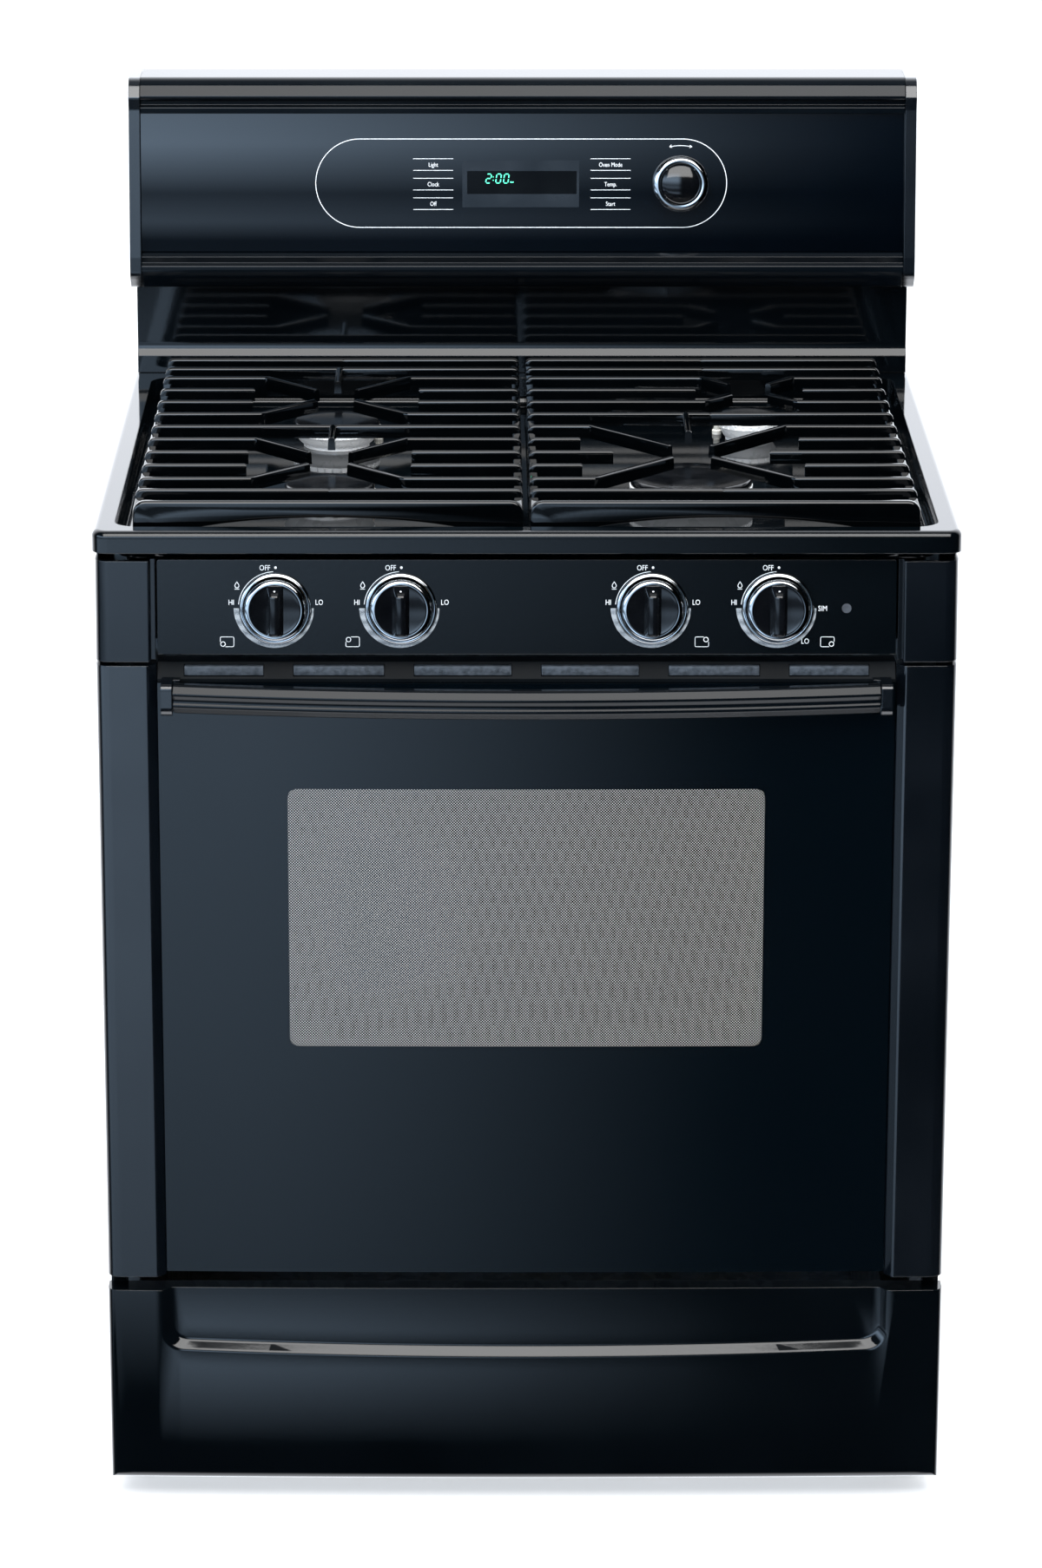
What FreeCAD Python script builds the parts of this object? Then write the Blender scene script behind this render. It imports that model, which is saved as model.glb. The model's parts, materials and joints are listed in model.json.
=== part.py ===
import FreeCAD, Part
import math
import os
from FreeCAD import Vector

# Freestanding gas range: a cabinet with an oven, a storage drawer, four burners and a backguard.
#
# Millimetres, +Z up. X runs left to right as a cook sees the range, and the front faces -Y. The
# origin is on the floor, in the middle of the width and of the depth from handle to back.

# ---- overall sizes ----
width = 760.0              # cooktop, side to side
body_depth = 685.0         # cooktop lip to the back
handle_reach = 45.0        # oven handle in front of the cooktop lip
cooktop_height = 914.0     # floor to the cooktop's flat rails
backguard_height = 294.0   # cooktop's rails to the top of the backguard
foot_height = 22.0         # levelling feet below the base

# ---- sheet, walls and clearances ----
skin = 1.5                 # outer steel sheet
liner_sheet = 1.2          # enamelled oven sheet
glass = 4.0                # flat panes
body_inset = 2.0           # cabinet sides inside the cooktop's edge
back_recess = 12.0         # cabinet's back in front of the backguard's
fit_gap = 0.3              # between faces of pieces that move past each other
lid_gap = 0.2              # under a piece that rests by its own weight
pin_gap = 0.05             # radial, hinge pins and spindles

# ---- fronts ----
front_bow = 5.0            # middle of the door and drawer in front of their ends
column_step = 9.0          # side columns in front of the middle panel
column_width = 53.0        # door column, with its bevel
bevel_width = 7.0          # slope from the column to the middle panel
corner_radius = 12.0       # outer vertical corners
drawer_height = 185.0
drawer_door_gap = 12.6
door_panel_gap = 4.0
front_glass = 5.0          # bowed glass of the door
door_thickness = 45.0      # column face to the door's inner face
column_depth = 31.0
door_frame_gap = 2.8       # closed by the seal
panel_height = 90.0        # control panel ends
panel_cooktop_gap = 7.6    # shadow gap under the cooktop's lip
panel_tilt = 5.0           # degrees, leaning back

# ---- door hinge and handle ----
hinge_inset = 23.0         # pin behind the column face
hinge_rise = 22.4          # pin above the door's lower edge
hinge_pin = 4.0            # radius
hinge_side = 20.0          # hinge inside the door's edge
claw_width = 4.0
claw_eye = 9.0
handle_inset = 15.0        # bar ends inside the side columns
handle_bow = 22.0
handle_height = 27.5
handle_thick = 18.0
handle_drop = 12.0         # top of the handle under the top of the door
vent_gap_share = 0.08      # between the slots of the top trim, shares of its half length
vent_shares = (0.265, 0.247, 0.216)
window_side = 169.0        # window inside the range's sides
window_rise = 219.4        # above the door's lower edge
window_drop = 114.0        # under the door's upper edge

# ---- oven ----
oven_side = 80.0           # cavity inside the range's sides
oven_rise = 42.4           # cavity floor above the door's lower edge
oven_drop = 58.0           # cavity roof under the door's upper edge
oven_back = 172.0          # what the cavity leaves of the body's depth
flange = 50.0              # liner's front flange, sideways
flange_rise = 22.0
blanket = 30.0             # insulation
floor_plate_rise = 34.0
rack_wire = 2.0
rack_frame = 3.0
rack_cross = 2.5           # rods across the rack
rack_shares = (0.334, 0.63)  # of the cavity's height

# ---- drawer ----
recess_drop = 57.0         # front's recess under the drawer's top, at its corners
recess_sag = 6.0           # lower still in the middle
recess_corner = 18.0
tray_side = 50.0           # room for a slide at each side of the tray
tray_back = 185.0          # what the tray leaves of the body's depth
tray_rise = 23.0           # above the front's lower edge
tray_drop = 17.0           # under the front's upper edge
slide_rise = 88.0
slide_height = 28.0
slide_width = 10.0

# ---- cooktop ----
lip_height = 19.4
rail_width = 19.0
front_ledge = 20.0
well_depth = 28.0
well_back_rail = 59.0
well_corner = 20.0

# ---- grates, from the cooktop lip ----
grate_rise = 21.0          # above the cooktop's rails
grate_margin = 35.0        # inside the cooktop's edge
grate_split = 3.0          # half the gap between the two grates
bar_height = 12.0
bar_width = 7.0
bar_front = 31.0
bar_end_pitch = 44.0
bar_rear_pitch = 40.9
bar_middle_count = 9
bar_back = 9.2             # last bar in front of the well's back
leg_size = 12.0

# ---- burners ----
left_burner_share = -0.2329   # of the width, from the middle
rear_right_share = 0.2829
front_right_share = 0.1987
medium_burner = 41.0
small_burner = 29.0
large_burner = 56.0
head_height = 18.0
cap_height = 7.0
throat = 11.0

# ---- knobs ----
inner_knob_share = 0.14474  # of the width, from the middle
outer_knob_share = 0.28947
lens_share = 0.58          # of the way from the outer knob to the panel's end
knob_radius = 27.0
knob_grip = (15.0, 46.0)
bezel_radius = 31.3
bezel_height = 4.0
knob_travel = 3.0
spindle = 4.0
spindle_flat = 2.6

# ---- backguard ----
riser_inset = 33.0         # riser in front of the back
riser_foot = 4.1           # foot in front of the riser
riser_step = 17.0
cove_radius = 22.6
cove_lift = 5.9            # where the cove's two faces would meet, above its lower edge
console_height = 202.0
console_inset = 79.0       # lower edge of the glass in front of the back
console_run = 16.0         # the glass leans back by this much
console_rise = 132.0       # over this much height
glass_rise = 37.0          # glass above the console's lower edge
glass_drop = 33.0          # under its upper edge
end_cap = 11.0
dial_share = 0.20066       # of the width, from the middle
dial_drop = 100.0          # under the top of the backguard
dial_radius = 27.0

# ---- levels and planes that the rest is worked out from ----
half = width / 2.0
lip_y = (handle_reach - body_depth) / 2.0
back_y = lip_y + body_depth
cabinet_back_y = back_y - back_recess
side_x = half - body_inset
column_x = side_x - column_width
drawer_low = foot_height
drawer_high = drawer_low + drawer_height
door_low = drawer_high + drawer_door_gap
panel_high = cooktop_height - lip_height - panel_cooktop_gap
panel_low = panel_high - panel_height
door_high = panel_low - door_panel_gap
column_y = lip_y
middle_y = column_y + column_step
door_back_y = column_y + door_thickness
flange_y = door_back_y + door_frame_gap
frame_y = flange_y + liner_sheet
hinge_y = column_y + hinge_inset
hinge_z = door_low + hinge_rise
fascia_half = column_x - 1.5
hinge_x = side_x - hinge_side
handle_half = column_x - handle_inset
window_half = half - window_side
window_low = door_low + window_rise
window_high = door_high - window_drop
cavity_half = half - oven_side
cavity_low = door_low + oven_rise
cavity_high = door_high - oven_drop
cavity_back_y = flange_y + body_depth - oven_back
rack_heights = [cavity_low + share * (cavity_high - cavity_low) for share in rack_shares]
recess_low = drawer_high - recess_drop
tray_half = side_x - tray_side
tray_depth = body_depth - tray_back
tray_low = drawer_low + tray_rise
tray_high = drawer_high - tray_drop
slide_z = drawer_low + slide_rise
well_floor = cooktop_height - well_depth
well_back = body_depth - well_back_rail
grate_top = cooktop_height + grate_rise
grate_half_width = half - grate_margin
bar_run = well_back - bar_back - bar_front - 2 * bar_end_pitch - 2 * bar_rear_pitch
bar_pitch = bar_run / (bar_middle_count - 1)
left_burner_x = left_burner_share * width
rear_right_x = rear_right_share * width
front_right_x = front_right_share * width
inner_knob_x = inner_knob_share * width
outer_knob_x = outer_knob_share * width
lens_x = outer_knob_x + lens_share * (fascia_half - outer_knob_x)
overall_height = cooktop_height + backguard_height
console_low = overall_height - console_height
console_half = side_x - end_cap + 1.0
console_y = back_y - console_inset
dial_x = dial_share * width
dial_z = overall_height - dial_drop

nodes = {}


# ---- shape helpers ----
def block(x0, x1, y0, y1, z0, z1):
    return Part.makeBox(x1 - x0, y1 - y0, z1 - z0, Vector(x0, y0, z0))


def rod(start, end, radius):
    run = Vector(*end) - Vector(*start)
    return Part.makeCylinder(radius, run.Length, Vector(*start), run)


def outline(points, place):
    """Closed wire through (u, v, r) corners, each rounded by r where r is not 0."""
    corners = []
    for i, (u, v, r) in enumerate(points):
        before = Vector(points[i - 1][0], points[i - 1][1], 0)
        after = Vector(*points[(i + 1) % len(points)][:2], 0)
        corner = Vector(u, v, 0)
        if r == 0:
            corners.append((corner, None, corner))
            continue
        back = (before - corner).normalize()
        ahead = (after - corner).normalize()
        half_angle = back.getAngle(ahead) / 2.0
        reach = r / math.tan(half_angle)
        middle = corner + (back + ahead).normalize() * (r / math.sin(half_angle) - r)
        corners.append((corner + back * reach, middle, corner + ahead * reach))
    edges = []
    for i, (start, middle, end) in enumerate(corners):
        if middle is not None:
            edges.append(Part.Arc(place(start), place(middle), place(end)).toShape())
        following = corners[(i + 1) % len(corners)][0]
        if (following - end).Length > 1e-6:
            edges.append(Part.makeLine(place(end), place(following)))
    return Part.Wire(edges)


def prism_x(points, x0, x1):
    """A (y, z, r) outline, drawn out along X."""
    wire = outline(points, lambda p: Vector(x0, p.x, p.y))
    return Part.Face(wire).extrude(Vector(x1 - x0, 0, 0))


def prism_y(points, y0, y1):
    """An (x, z, r) outline, drawn out along Y."""
    wire = outline(points, lambda p: Vector(p.x, y0, p.y))
    return Part.Face(wire).extrude(Vector(0, y1 - y0, 0))


def prism_z(points, z0, z1):
    """An (x, y, r) outline, drawn out along Z."""
    wire = outline(points, lambda p: Vector(p.x, p.y, z0))
    return Part.Face(wire).extrude(Vector(0, 0, z1 - z0))


def rectangle(u0, u1, v0, v1, r=0.0):
    return [(u0, v0, r), (u1, v0, r), (u1, v1, r), (u0, v1, r)]


def turned(profile, x, y, z):
    """An (r, z) profile turned about a vertical axis through x, y; z is where its zero stands."""
    points = [Vector(x + r, y, z + h) for r, h in profile]
    face = Part.Face(Part.makePolygon(points + points[:1]))
    return face.revolve(Vector(x, y, 0), Vector(0, 0, 1), 360)


def mirrored(shape):
    return shape.mirror(Vector(0, 0, 0), Vector(1, 0, 0))


def pair(shape):
    """The same piece on the right and on the left."""
    return [shape, mirrored(shape)]


def joined(shapes):
    return shapes[0].multiFuse(shapes[1:]).removeSplitter()


def tilted(shape, x, y, z, degrees):
    """Lean a piece that was made upright at the origin back by degrees, then stand it at x, y, z."""
    shape.rotate(Vector(0, 0, 0), Vector(1, 0, 0), -degrees)
    shape.translate(Vector(x, y, z))
    return shape


def bowed(front, x0, x1, z0, z1, thickness):
    """A panel whose front is an arc in plan, front_bow proud at x = 0 of its place at the sides."""
    def arc(y):
        left = Vector(-side_x, y, z0)
        right = Vector(side_x, y, z0)
        return Part.Arc(left, Vector(0, y - front_bow, z0), right).toShape()
    near = arc(front)
    far = arc(front + thickness)
    ends = [Part.makeLine(Vector(x, front, z0), Vector(x, front + thickness, z0)) for x in (-side_x, side_x)]
    sheet = Part.Face(Part.Wire([near, ends[1], far, ends[0]])).extrude(Vector(0, 0, z1 - z0))
    return sheet.common(block(x0, x1, front - 2 * front_bow, front + thickness + 1, z0, z1))


def keep(name, *shapes):
    solids = []
    for shape in shapes:
        for item in shape if isinstance(shape, list) else [shape]:
            solids.extend(item.Solids)
    nodes[name] = solids


# ---- cabinet ----
def make_cabinet():
    panel_top = cooktop_height - lip_height + 5.0
    outer = block(side_x - 14.0, side_x, frame_y, cabinet_back_y, foot_height, panel_top)
    inner = block(side_x - 15.0, side_x - skin, frame_y + skin, cabinet_back_y - skin, foot_height - 1,
                  panel_top + 1)
    keep("side_panels", pair(outer.cut(inner)))

    rail_x = side_x - skin - 0.5
    rail_height = 40.0
    rail_in = rail_x - 24.0
    y0 = frame_y + 24.0
    y1 = cabinet_back_y - 4.0
    rail_top = foot_height + rail_height
    rail = block(rail_in, rail_x, y0, y1, foot_height, rail_top)
    front_member = block(-rail_in, rail_in, y0, y0 + 30.0, foot_height, tray_low - 6.0)
    rear_member = block(-rail_in, rail_in, y1 - 30.0, y1, foot_height, rail_top)
    keep("base_frame", pair(rail), front_member, rear_member)

    post_x0 = cavity_half + flange + 2.0
    post_top = well_floor - skin - 1.0
    post = block(post_x0, side_x - 15.5, frame_y, frame_y + skin, foot_height, post_top)
    post = post.fuse(block(post_x0, post_x0 + skin, frame_y, frame_y + 22.0, foot_height, post_top))
    header = block(-post_x0, post_x0, frame_y, frame_y + skin, cavity_high + 4.0, panel_low + 8.0)
    header = header.fuse(block(-post_x0, post_x0, frame_y, frame_y + 20.0, panel_low + 6.5, panel_low + 8.0))
    sill = block(-post_x0, post_x0, frame_y, frame_y + skin, drawer_high + 3.0, cavity_low - 4.0)
    sill = sill.fuse(block(-post_x0, post_x0, frame_y, frame_y + 20.0, drawer_high + 3.0, drawer_high + 4.5))
    keep("front_frame", pair(post.removeSplitter()), header.removeSplitter(), sill.removeSplitter())

    foot = turned([(0, 0), (14, 0), (14, 5), (11, 8), (5, 8), (5, foot_height), (0, foot_height)], 0, 0, 0)
    feet = []
    for y in (frame_y + 60.0, cabinet_back_y - 70.0):
        place = foot.copy()
        place.translate(Vector(rail_x - 12.0, y, 0))
        feet.extend(pair(place))
    keep("levelling_feet", feet)


# ---- oven ----
def make_oven():
    low, high = cavity_low, cavity_high
    t = liner_sheet
    shell = block(-cavity_half - t, cavity_half + t, flange_y, cavity_back_y + t, low - t, high + t)
    plate = block(-cavity_half - flange, cavity_half + flange, flange_y, frame_y, low - flange_rise,
                  high + flange_rise)
    flue_half = 60.0
    flue_y = cavity_back_y - 60.0
    flue_top = well_floor - 30.0
    liner = shell.fuse(plate)
    liner = liner.cut(block(-cavity_half, cavity_half, flange_y - 1, cavity_back_y, low, high))
    liner = liner.cut(block(-flue_half, flue_half, flue_y, cavity_back_y - 20.0, high - 1, high + 9.0))
    lamp_x, lamp_z, lamp_r = 200.0, high - 95.0, 28.0
    liner = liner.cut(rod((lamp_x, cavity_back_y - 1, lamp_z), (lamp_x, cavity_back_y + 9, lamp_z), 18.0))

    flue = block(-flue_half - t, flue_half + t, flue_y - t, cavity_back_y - 20.0 + t, high + t, flue_top)
    flue = flue.cut(block(-flue_half, flue_half, flue_y, cavity_back_y - 20.0, high, flue_top + 1))
    keep("oven_liner", liner.removeSplitter(), flue)

    b = blanket
    g = t + fit_gap
    wool_half = cavity_half + b
    wool_y = frame_y + 21.0
    wool = block(-wool_half, wool_half, frame_y + skin + 0.5, cavity_back_y + b, low - b, high + b)
    wool = wool.cut(block(-cavity_half - g, cavity_half + g, flange_y, cavity_back_y + g, low - g, high + g))
    wool = wool.cut(block(-flue_half - g, flue_half + g, flue_y - g, cavity_back_y - 20.0 + g, high,
                          high + b + 1))
    wool = wool.cut(rod((lamp_x, cavity_back_y, lamp_z), (lamp_x, cavity_back_y + b + 1, lamp_z), 18.0))
    wool = wool.cut(block(-wool_half, wool_half, flange_y, wool_y, high + g, high + b + 1))
    wool = wool.cut(block(-wool_half, wool_half, flange_y, wool_y, low - b - 1, low - g))
    keep("oven_insulation", wool)

    floor_z = low + floor_plate_rise
    plate = block(1 - cavity_half, cavity_half - 1, flange_y + 6, cavity_back_y - 2, floor_z - 2, floor_z)
    slots = 4
    slot_pitch = (cavity_back_y - flange_y - 93.0) / slots
    slot_length = slot_pitch - 15.0
    for x in (-cavity_half + 30.0, cavity_half - 42.0):
        for n in range(slots):
            y = flange_y + 70.0 + n * slot_pitch
            plate = plate.cut(block(x, x + 12.0, y, y + slot_length, floor_z - 3, floor_z + 1))
    keep("oven_floor_plate", plate)

    burner_y0 = flange_y + 60.0
    burner_y1 = cavity_back_y - 20.0
    burners = []
    for z, radius in ((low + 15.0, 11.0), (high - 22.0, 11.0)):
        tube = rod((0, burner_y0, z), (0, burner_y1, z), radius)
        wings = block(-34.0, 34.0, burner_y0 + 20.0, burner_y1 - 20.0, z - 2.0, z + 1.0)
        burners.append(tube.fuse(wings).removeSplitter())
    keep("oven_burners", burners)

    rack_half = cavity_half - 12.0
    rack_y0 = flange_y + 25.0
    rack_y1 = cavity_back_y - 25.0
    wires = []
    for x in (-rack_half, rack_half):
        wires.append(rod((x, rack_y0 - rack_frame, 0), (x, rack_y1 + rack_frame, 0), rack_frame))
    for y in (rack_y0, (rack_y0 + rack_y1) / 2, rack_y1):
        wires.append(rod((-rack_half, y, 0), (rack_half, y, 0), rack_cross))
    for n in range(1, 14):
        x = -rack_half + n * 2 * rack_half / 14
        wires.append(rod((x, rack_y0, rack_wire), (x, rack_y1, rack_wire), rack_wire))
    rack = wires[0].multiFuse(wires[1:])
    racks = []
    for z in rack_heights:
        racks.append(rack.translated(Vector(0, 0, z)))
    keep("oven_racks", racks)

    guide_x = cavity_half - 4.0
    guide_wire = 2.5
    guide_pitch = (rack_heights[1] - rack_heights[0]) / 2.0
    guide_low = rack_heights[0] - rack_frame - guide_wire - fit_gap - guide_pitch
    guide_levels = [guide_low + n * guide_pitch for n in range(6)]
    post_low, post_high = guide_levels[0] - 15.0, guide_levels[-1] + 10.0
    wires = []
    for y in (flange_y + 60.0, cavity_back_y - 60.0):
        wires.append(rod((guide_x, y, post_low), (guide_x, y, post_high), guide_wire))
        for z in (post_low + 5.0, post_high - 5.0):
            wires.append(rod((guide_x, y, z), (cavity_half, y, z), guide_wire))
    for z in guide_levels:
        wires.append(rod((guide_x - 4.0, flange_y + 20.0, z), (guide_x - 4.0, cavity_back_y - 20.0, z),
                         guide_wire))
    keep("rack_guides", pair(wires[0].multiFuse(wires[1:])))

    profile = [(0, -14), (20, -12), (lamp_r, 0), (lamp_r, 3), (17.5, 3), (17.5, 40), (0, 40)]
    lamp = turned(profile, 0, 0, 0)
    lamp.rotate(Vector(0, 0, 0), Vector(1, 0, 0), -90)
    lamp.translate(Vector(lamp_x, cavity_back_y - 3.0, lamp_z))
    keep("oven_lamp", lamp)


# ---- door ----
def door_column():
    """Right-hand column in plan: rounded outside corner, bevel down to the middle panel."""
    front = column_y
    points = [
        (column_x, front + column_step + 3.0, 0), (column_x, front + column_step, 1.0),
        (column_x + bevel_width, front, 3.0), (side_x, front + 0.5, corner_radius),
        (side_x, front + column_depth, 0), (side_x - 3.0, front + column_depth, 0),
        (side_x - 3.0, front + 6.0, corner_radius - 4.0), (column_x + bevel_width + 3.0, front + 5.0, 2.0),
        (column_x + 4.0, front + column_step + 4.0, 0), (column_x + 4.0, front + column_depth, 0),
        (column_x, front + column_depth, 0),
    ]
    return points


def make_door():
    shell = prism_z(door_column(), door_low, door_high)
    cap_points = [p for p in door_column() if p[1] < column_y + 4.0 or p[0] in (side_x, column_x)]
    for z in (door_low, door_high - 3.0):
        shell = shell.fuse(prism_z(cap_points, z, z + 3.0))
    slot = block(hinge_x - 5.0, hinge_x + 5.0, hinge_y - claw_eye - 2.0, column_y + column_depth + 1,
                 door_low - 1, hinge_z + 20.0)
    shell = shell.cut(slot).removeSplitter()
    keep("door_columns", pair(shell))

    glass_half = column_x - 0.5
    trim_low = door_high - 17.0
    keep("door_glass", bowed(middle_y, -glass_half, glass_half, door_low + 3.0, trim_low - 0.3, front_glass))

    trim_back = middle_y + 26.0
    profile = [
        (middle_y, trim_low, 0), (middle_y, trim_low + 3.0, 1.0), (middle_y + 8.0, door_high, 1.0),
        (trim_back, door_high, 0), (trim_back, trim_low + 2.0, 0), (middle_y + 4.0, trim_low + 2.0, 0),
        (middle_y + 4.0, trim_low, 0),
    ]
    trim = prism_x(profile, -glass_half, glass_half)
    gap = vent_gap_share * glass_half
    x = gap / 2
    for share in vent_shares:
        end = x + share * glass_half
        vent = block(x, end, middle_y - 1, middle_y + 14.0, trim_low + 5.0, door_high - 2.5)
        trim = trim.cut(vent).cut(mirrored(vent))
        x = end + gap
    keep("door_top_trim", trim)

    t = liner_sheet
    pan_y = column_y + column_depth + 0.3
    back = door_back_y
    outer = block(-glass_half, glass_half, middle_y + front_glass + 0.3, back, door_low + 4.0, trim_low - 0.3)
    outer = outer.fuse(block(-side_x + 3.0, side_x - 3.0, pan_y, back, door_low + 14.4, door_high - 7.0))
    inner = block(t - glass_half, glass_half - t, middle_y, back - t, door_low + 4.0 + t, trim_low - 0.3 - t)
    inner = inner.fuse(block(-side_x + 3.0 + t, side_x - 3.0 - t, pan_y - 1, back - t, door_low + 14.4 + t,
                             door_high - 7.0 - t))
    chamfer = 18.0

    def nose(wall):
        """The lower rear edge that would swing into the cabinet as the door opens."""
        return prism_x([(back - chamfer - wall, door_low - 1, 0), (back + 1, door_low - 1, 0),
                        (back + 1, door_low + chamfer + 1 + wall, 0)], -half, half)

    view = block(-window_half - 5.0, window_half + 5.0, back - 5.0, back + 1.0, window_low - 5.0,
                 window_high + 5.0)
    slots = pair(block(hinge_x - 5.0, hinge_x + 5.0, middle_y, back + 1, door_low - 1, hinge_z + 20.0))
    over_trim = block(-glass_half - 1, glass_half + 1, middle_y, trim_back + 0.3, trim_low - 0.3,
                      door_high + 1)
    pan = outer.cut(nose(0)).cut(inner.cut(nose(2 * t))).cut(view).cut(over_trim)
    for slot in slots:
        pan = pan.cut(slot)
    keep("door_inner_panel", pan.removeSplitter())

    keep("door_inner_glass", block(-window_half - 15.0, window_half + 15.0, back - t - glass, back - t,
                                   window_low - 15.0, window_high + 15.0))

    ring_x = cavity_half + 30.0
    ring_z = flange_rise - 7.0
    ring_r = 14.0
    outside = rectangle(-ring_x, ring_x, cavity_low - ring_z, cavity_high + ring_z, ring_r)
    seal = prism_y(outside, back, flange_y - lid_gap)
    inside = rectangle(10.0 - ring_x, ring_x - 10.0, cavity_low - ring_z + 10.0,
                       cavity_high + ring_z - 10.0, 4.0)
    keep("door_seal", seal.cut(prism_y(inside, back - 1, flange_y + 1)))

    reach = 9.0
    arm = block(hinge_x - reach, hinge_x + reach, hinge_y - 8.0, hinge_y + 7.0, hinge_z - 9.0, hinge_z + 70.0)
    arm = arm.cut(block(hinge_x - 5.0, hinge_x + 5.0, hinge_y - 12.0, hinge_y + 12.0, hinge_z - 10.0,
                        hinge_z + 20.0))
    arm = arm.fuse(rod((hinge_x - reach, hinge_y, hinge_z), (hinge_x + reach, hinge_y, hinge_z), hinge_pin))
    keep("door_hinge_arms", pair(arm.removeSplitter()))

    x0 = hinge_x - claw_width / 2
    x1 = hinge_x + claw_width / 2
    claw = rod((x0, hinge_y, hinge_z), (x1, hinge_y, hinge_z), claw_eye)
    claw = claw.fuse(block(x0, x1, hinge_y, frame_y, hinge_z - claw_eye, hinge_z + claw_eye))
    claw = claw.cut(rod((x0 - 1, hinge_y, hinge_z), (x1 + 1, hinge_y, hinge_z), hinge_pin + pin_gap))
    keep("hinge_receivers", pair(claw.removeSplitter()))


def make_handle():
    """The bar is part of a ring about an upright axis far behind the range, so it bows forward."""
    radius = (handle_half ** 2 + handle_bow ** 2) / (2 * handle_bow)
    front = lip_y - handle_reach
    top = door_high - handle_drop
    low = top - handle_height
    points = [
        (front + 5.0, top, 4.0), (front, top - 8.0, 3.0), (front + 3.5, top - 14.0, 4.0),
        (front + 1.0, top - 19.0, 3.0), (front + 9.0, low, 4.0), (front + handle_thick, low + 4.0, 3.0),
        (front + handle_thick, top - 1.0, 3.0),
    ]
    face = Part.Face(outline(points, lambda p: Vector(0, p.x, p.y)))
    sweep = math.degrees(math.asin(handle_half / radius))
    centre = Vector(0, front + radius, 0)
    face.rotate(centre, Vector(0, 0, 1), -sweep)
    bar = face.revolve(centre, Vector(0, 0, 1), 2 * sweep)
    keep("handle_bar", bar.common(block(-handle_half, handle_half, front - 1, lip_y, low - 1, top + 1)))

    end_y = front + handle_bow
    profile = [
        (end_y - 1.0, top + 1.0, 5.0), (end_y - 1.0, low - 1.0, 9.0), (middle_y - 1.0, low - 1.0, 4.0),
        (middle_y - 1.0, top + 1.0, 4.0),
    ]
    cap = prism_x(profile, handle_half + 0.3, handle_half + 10.0)
    foot = block(handle_half - 6.0, handle_half + 10.0, end_y + handle_thick + 3.0,
                 middle_y - front_bow * 0.3, low, top)
    bow_face = bowed(middle_y, -side_x, side_x, low - 5, top + 5, front_glass)
    keep("handle_ends", pair(joined([cap, foot]).cut(bow_face)))


# ---- drawer ----
def make_drawer():
    thick = 24.0
    front = bowed(column_y, -side_x, side_x, drawer_low, drawer_high, thick)
    upright = [e for e in front.Edges if abs(abs(e.CenterOfMass.x) - side_x) < 0.01
               and e.CenterOfMass.y < column_y + 1 and e.BoundBox.ZLength > drawer_height / 2]
    lower = [e for e in front.Edges if abs(abs(e.CenterOfMass.x) - side_x) < 0.01
             and abs(e.CenterOfMass.z - drawer_low) < 0.01 and e.BoundBox.YLength > thick / 2]
    front = front.makeFillet(corner_radius - 2.0, upright + lower)
    recess_half = column_x + bevel_width / 2

    def at(x, z):
        return Vector(x, column_y - 2 * column_step, z)

    top = drawer_high + 5.0
    turn = recess_corner * (1 - math.sqrt(0.5))
    edges = [
        Part.makeLine(at(recess_half, top), at(-recess_half, top)),
        Part.makeLine(at(-recess_half, top), at(-recess_half, recess_low + recess_corner)),
        Part.Arc(at(-recess_half, recess_low + recess_corner), at(-recess_half + turn, recess_low + turn),
                 at(-recess_half + recess_corner, recess_low)).toShape(),
        Part.Arc(at(-recess_half + recess_corner, recess_low), at(0, recess_low - recess_sag),
                 at(recess_half - recess_corner, recess_low)).toShape(),
        Part.Arc(at(recess_half - recess_corner, recess_low), at(recess_half - turn, recess_low + turn),
                 at(recess_half, recess_low + recess_corner)).toShape(),
        Part.makeLine(at(recess_half, recess_low + recess_corner), at(recess_half, top)),
    ]
    cutter = Part.Face(Part.Wire(edges)).extrude(Vector(0, 4 * column_step, 0))
    before = bowed(column_y - 3 * column_step, -side_x, side_x, drawer_low, top + 1.0, 4 * column_step)
    front = front.cut(cutter.common(before))
    hollow = block(-side_x + 6.0, side_x - 6.0, column_y + 14.0, column_y + thick + 1, drawer_low + 6.0,
                   drawer_high - 6.0)
    keep("drawer_front", front.cut(hollow))

    tray_y0 = column_y + 14.5
    tray_y1 = tray_y0 + tray_depth
    tray = block(-tray_half, tray_half, tray_y0, tray_y1, tray_low, tray_high)
    tray = tray.cut(block(skin - tray_half, tray_half - skin, tray_y0 + skin, tray_y1 - skin,
                          tray_low + skin, tray_high + 1))
    keep("drawer_tray", tray)

    rail_y0 = frame_y + 24.0
    rail_y1 = cabinet_back_y - 60.0
    z0 = slide_z - slide_height / 2
    z1 = slide_z + slide_height / 2
    slide = block(tray_half, tray_half + slide_width, tray_y0 + 20.0, tray_y1 - 10.0, z0, z1)
    keep("drawer_slides", pair(slide))
    wall = 2.0
    outside = tray_half + slide_width + fit_gap + wall
    rail = block(tray_half + 3.0, outside, rail_y0, rail_y1, z0 - fit_gap - wall, z1 + fit_gap + wall)
    rail = rail.cut(block(tray_half, outside - wall, rail_y0 - 1, rail_y1 + 1, z0 - fit_gap, z1 + fit_gap))
    bracket = block(outside, side_x - skin - 0.5, rail_y0 + 200.0, rail_y0 + 240.0, z0 - 10.0, z0 + 10.0)
    keep("drawer_rails", pair(rail.fuse(bracket).removeSplitter()))


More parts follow.
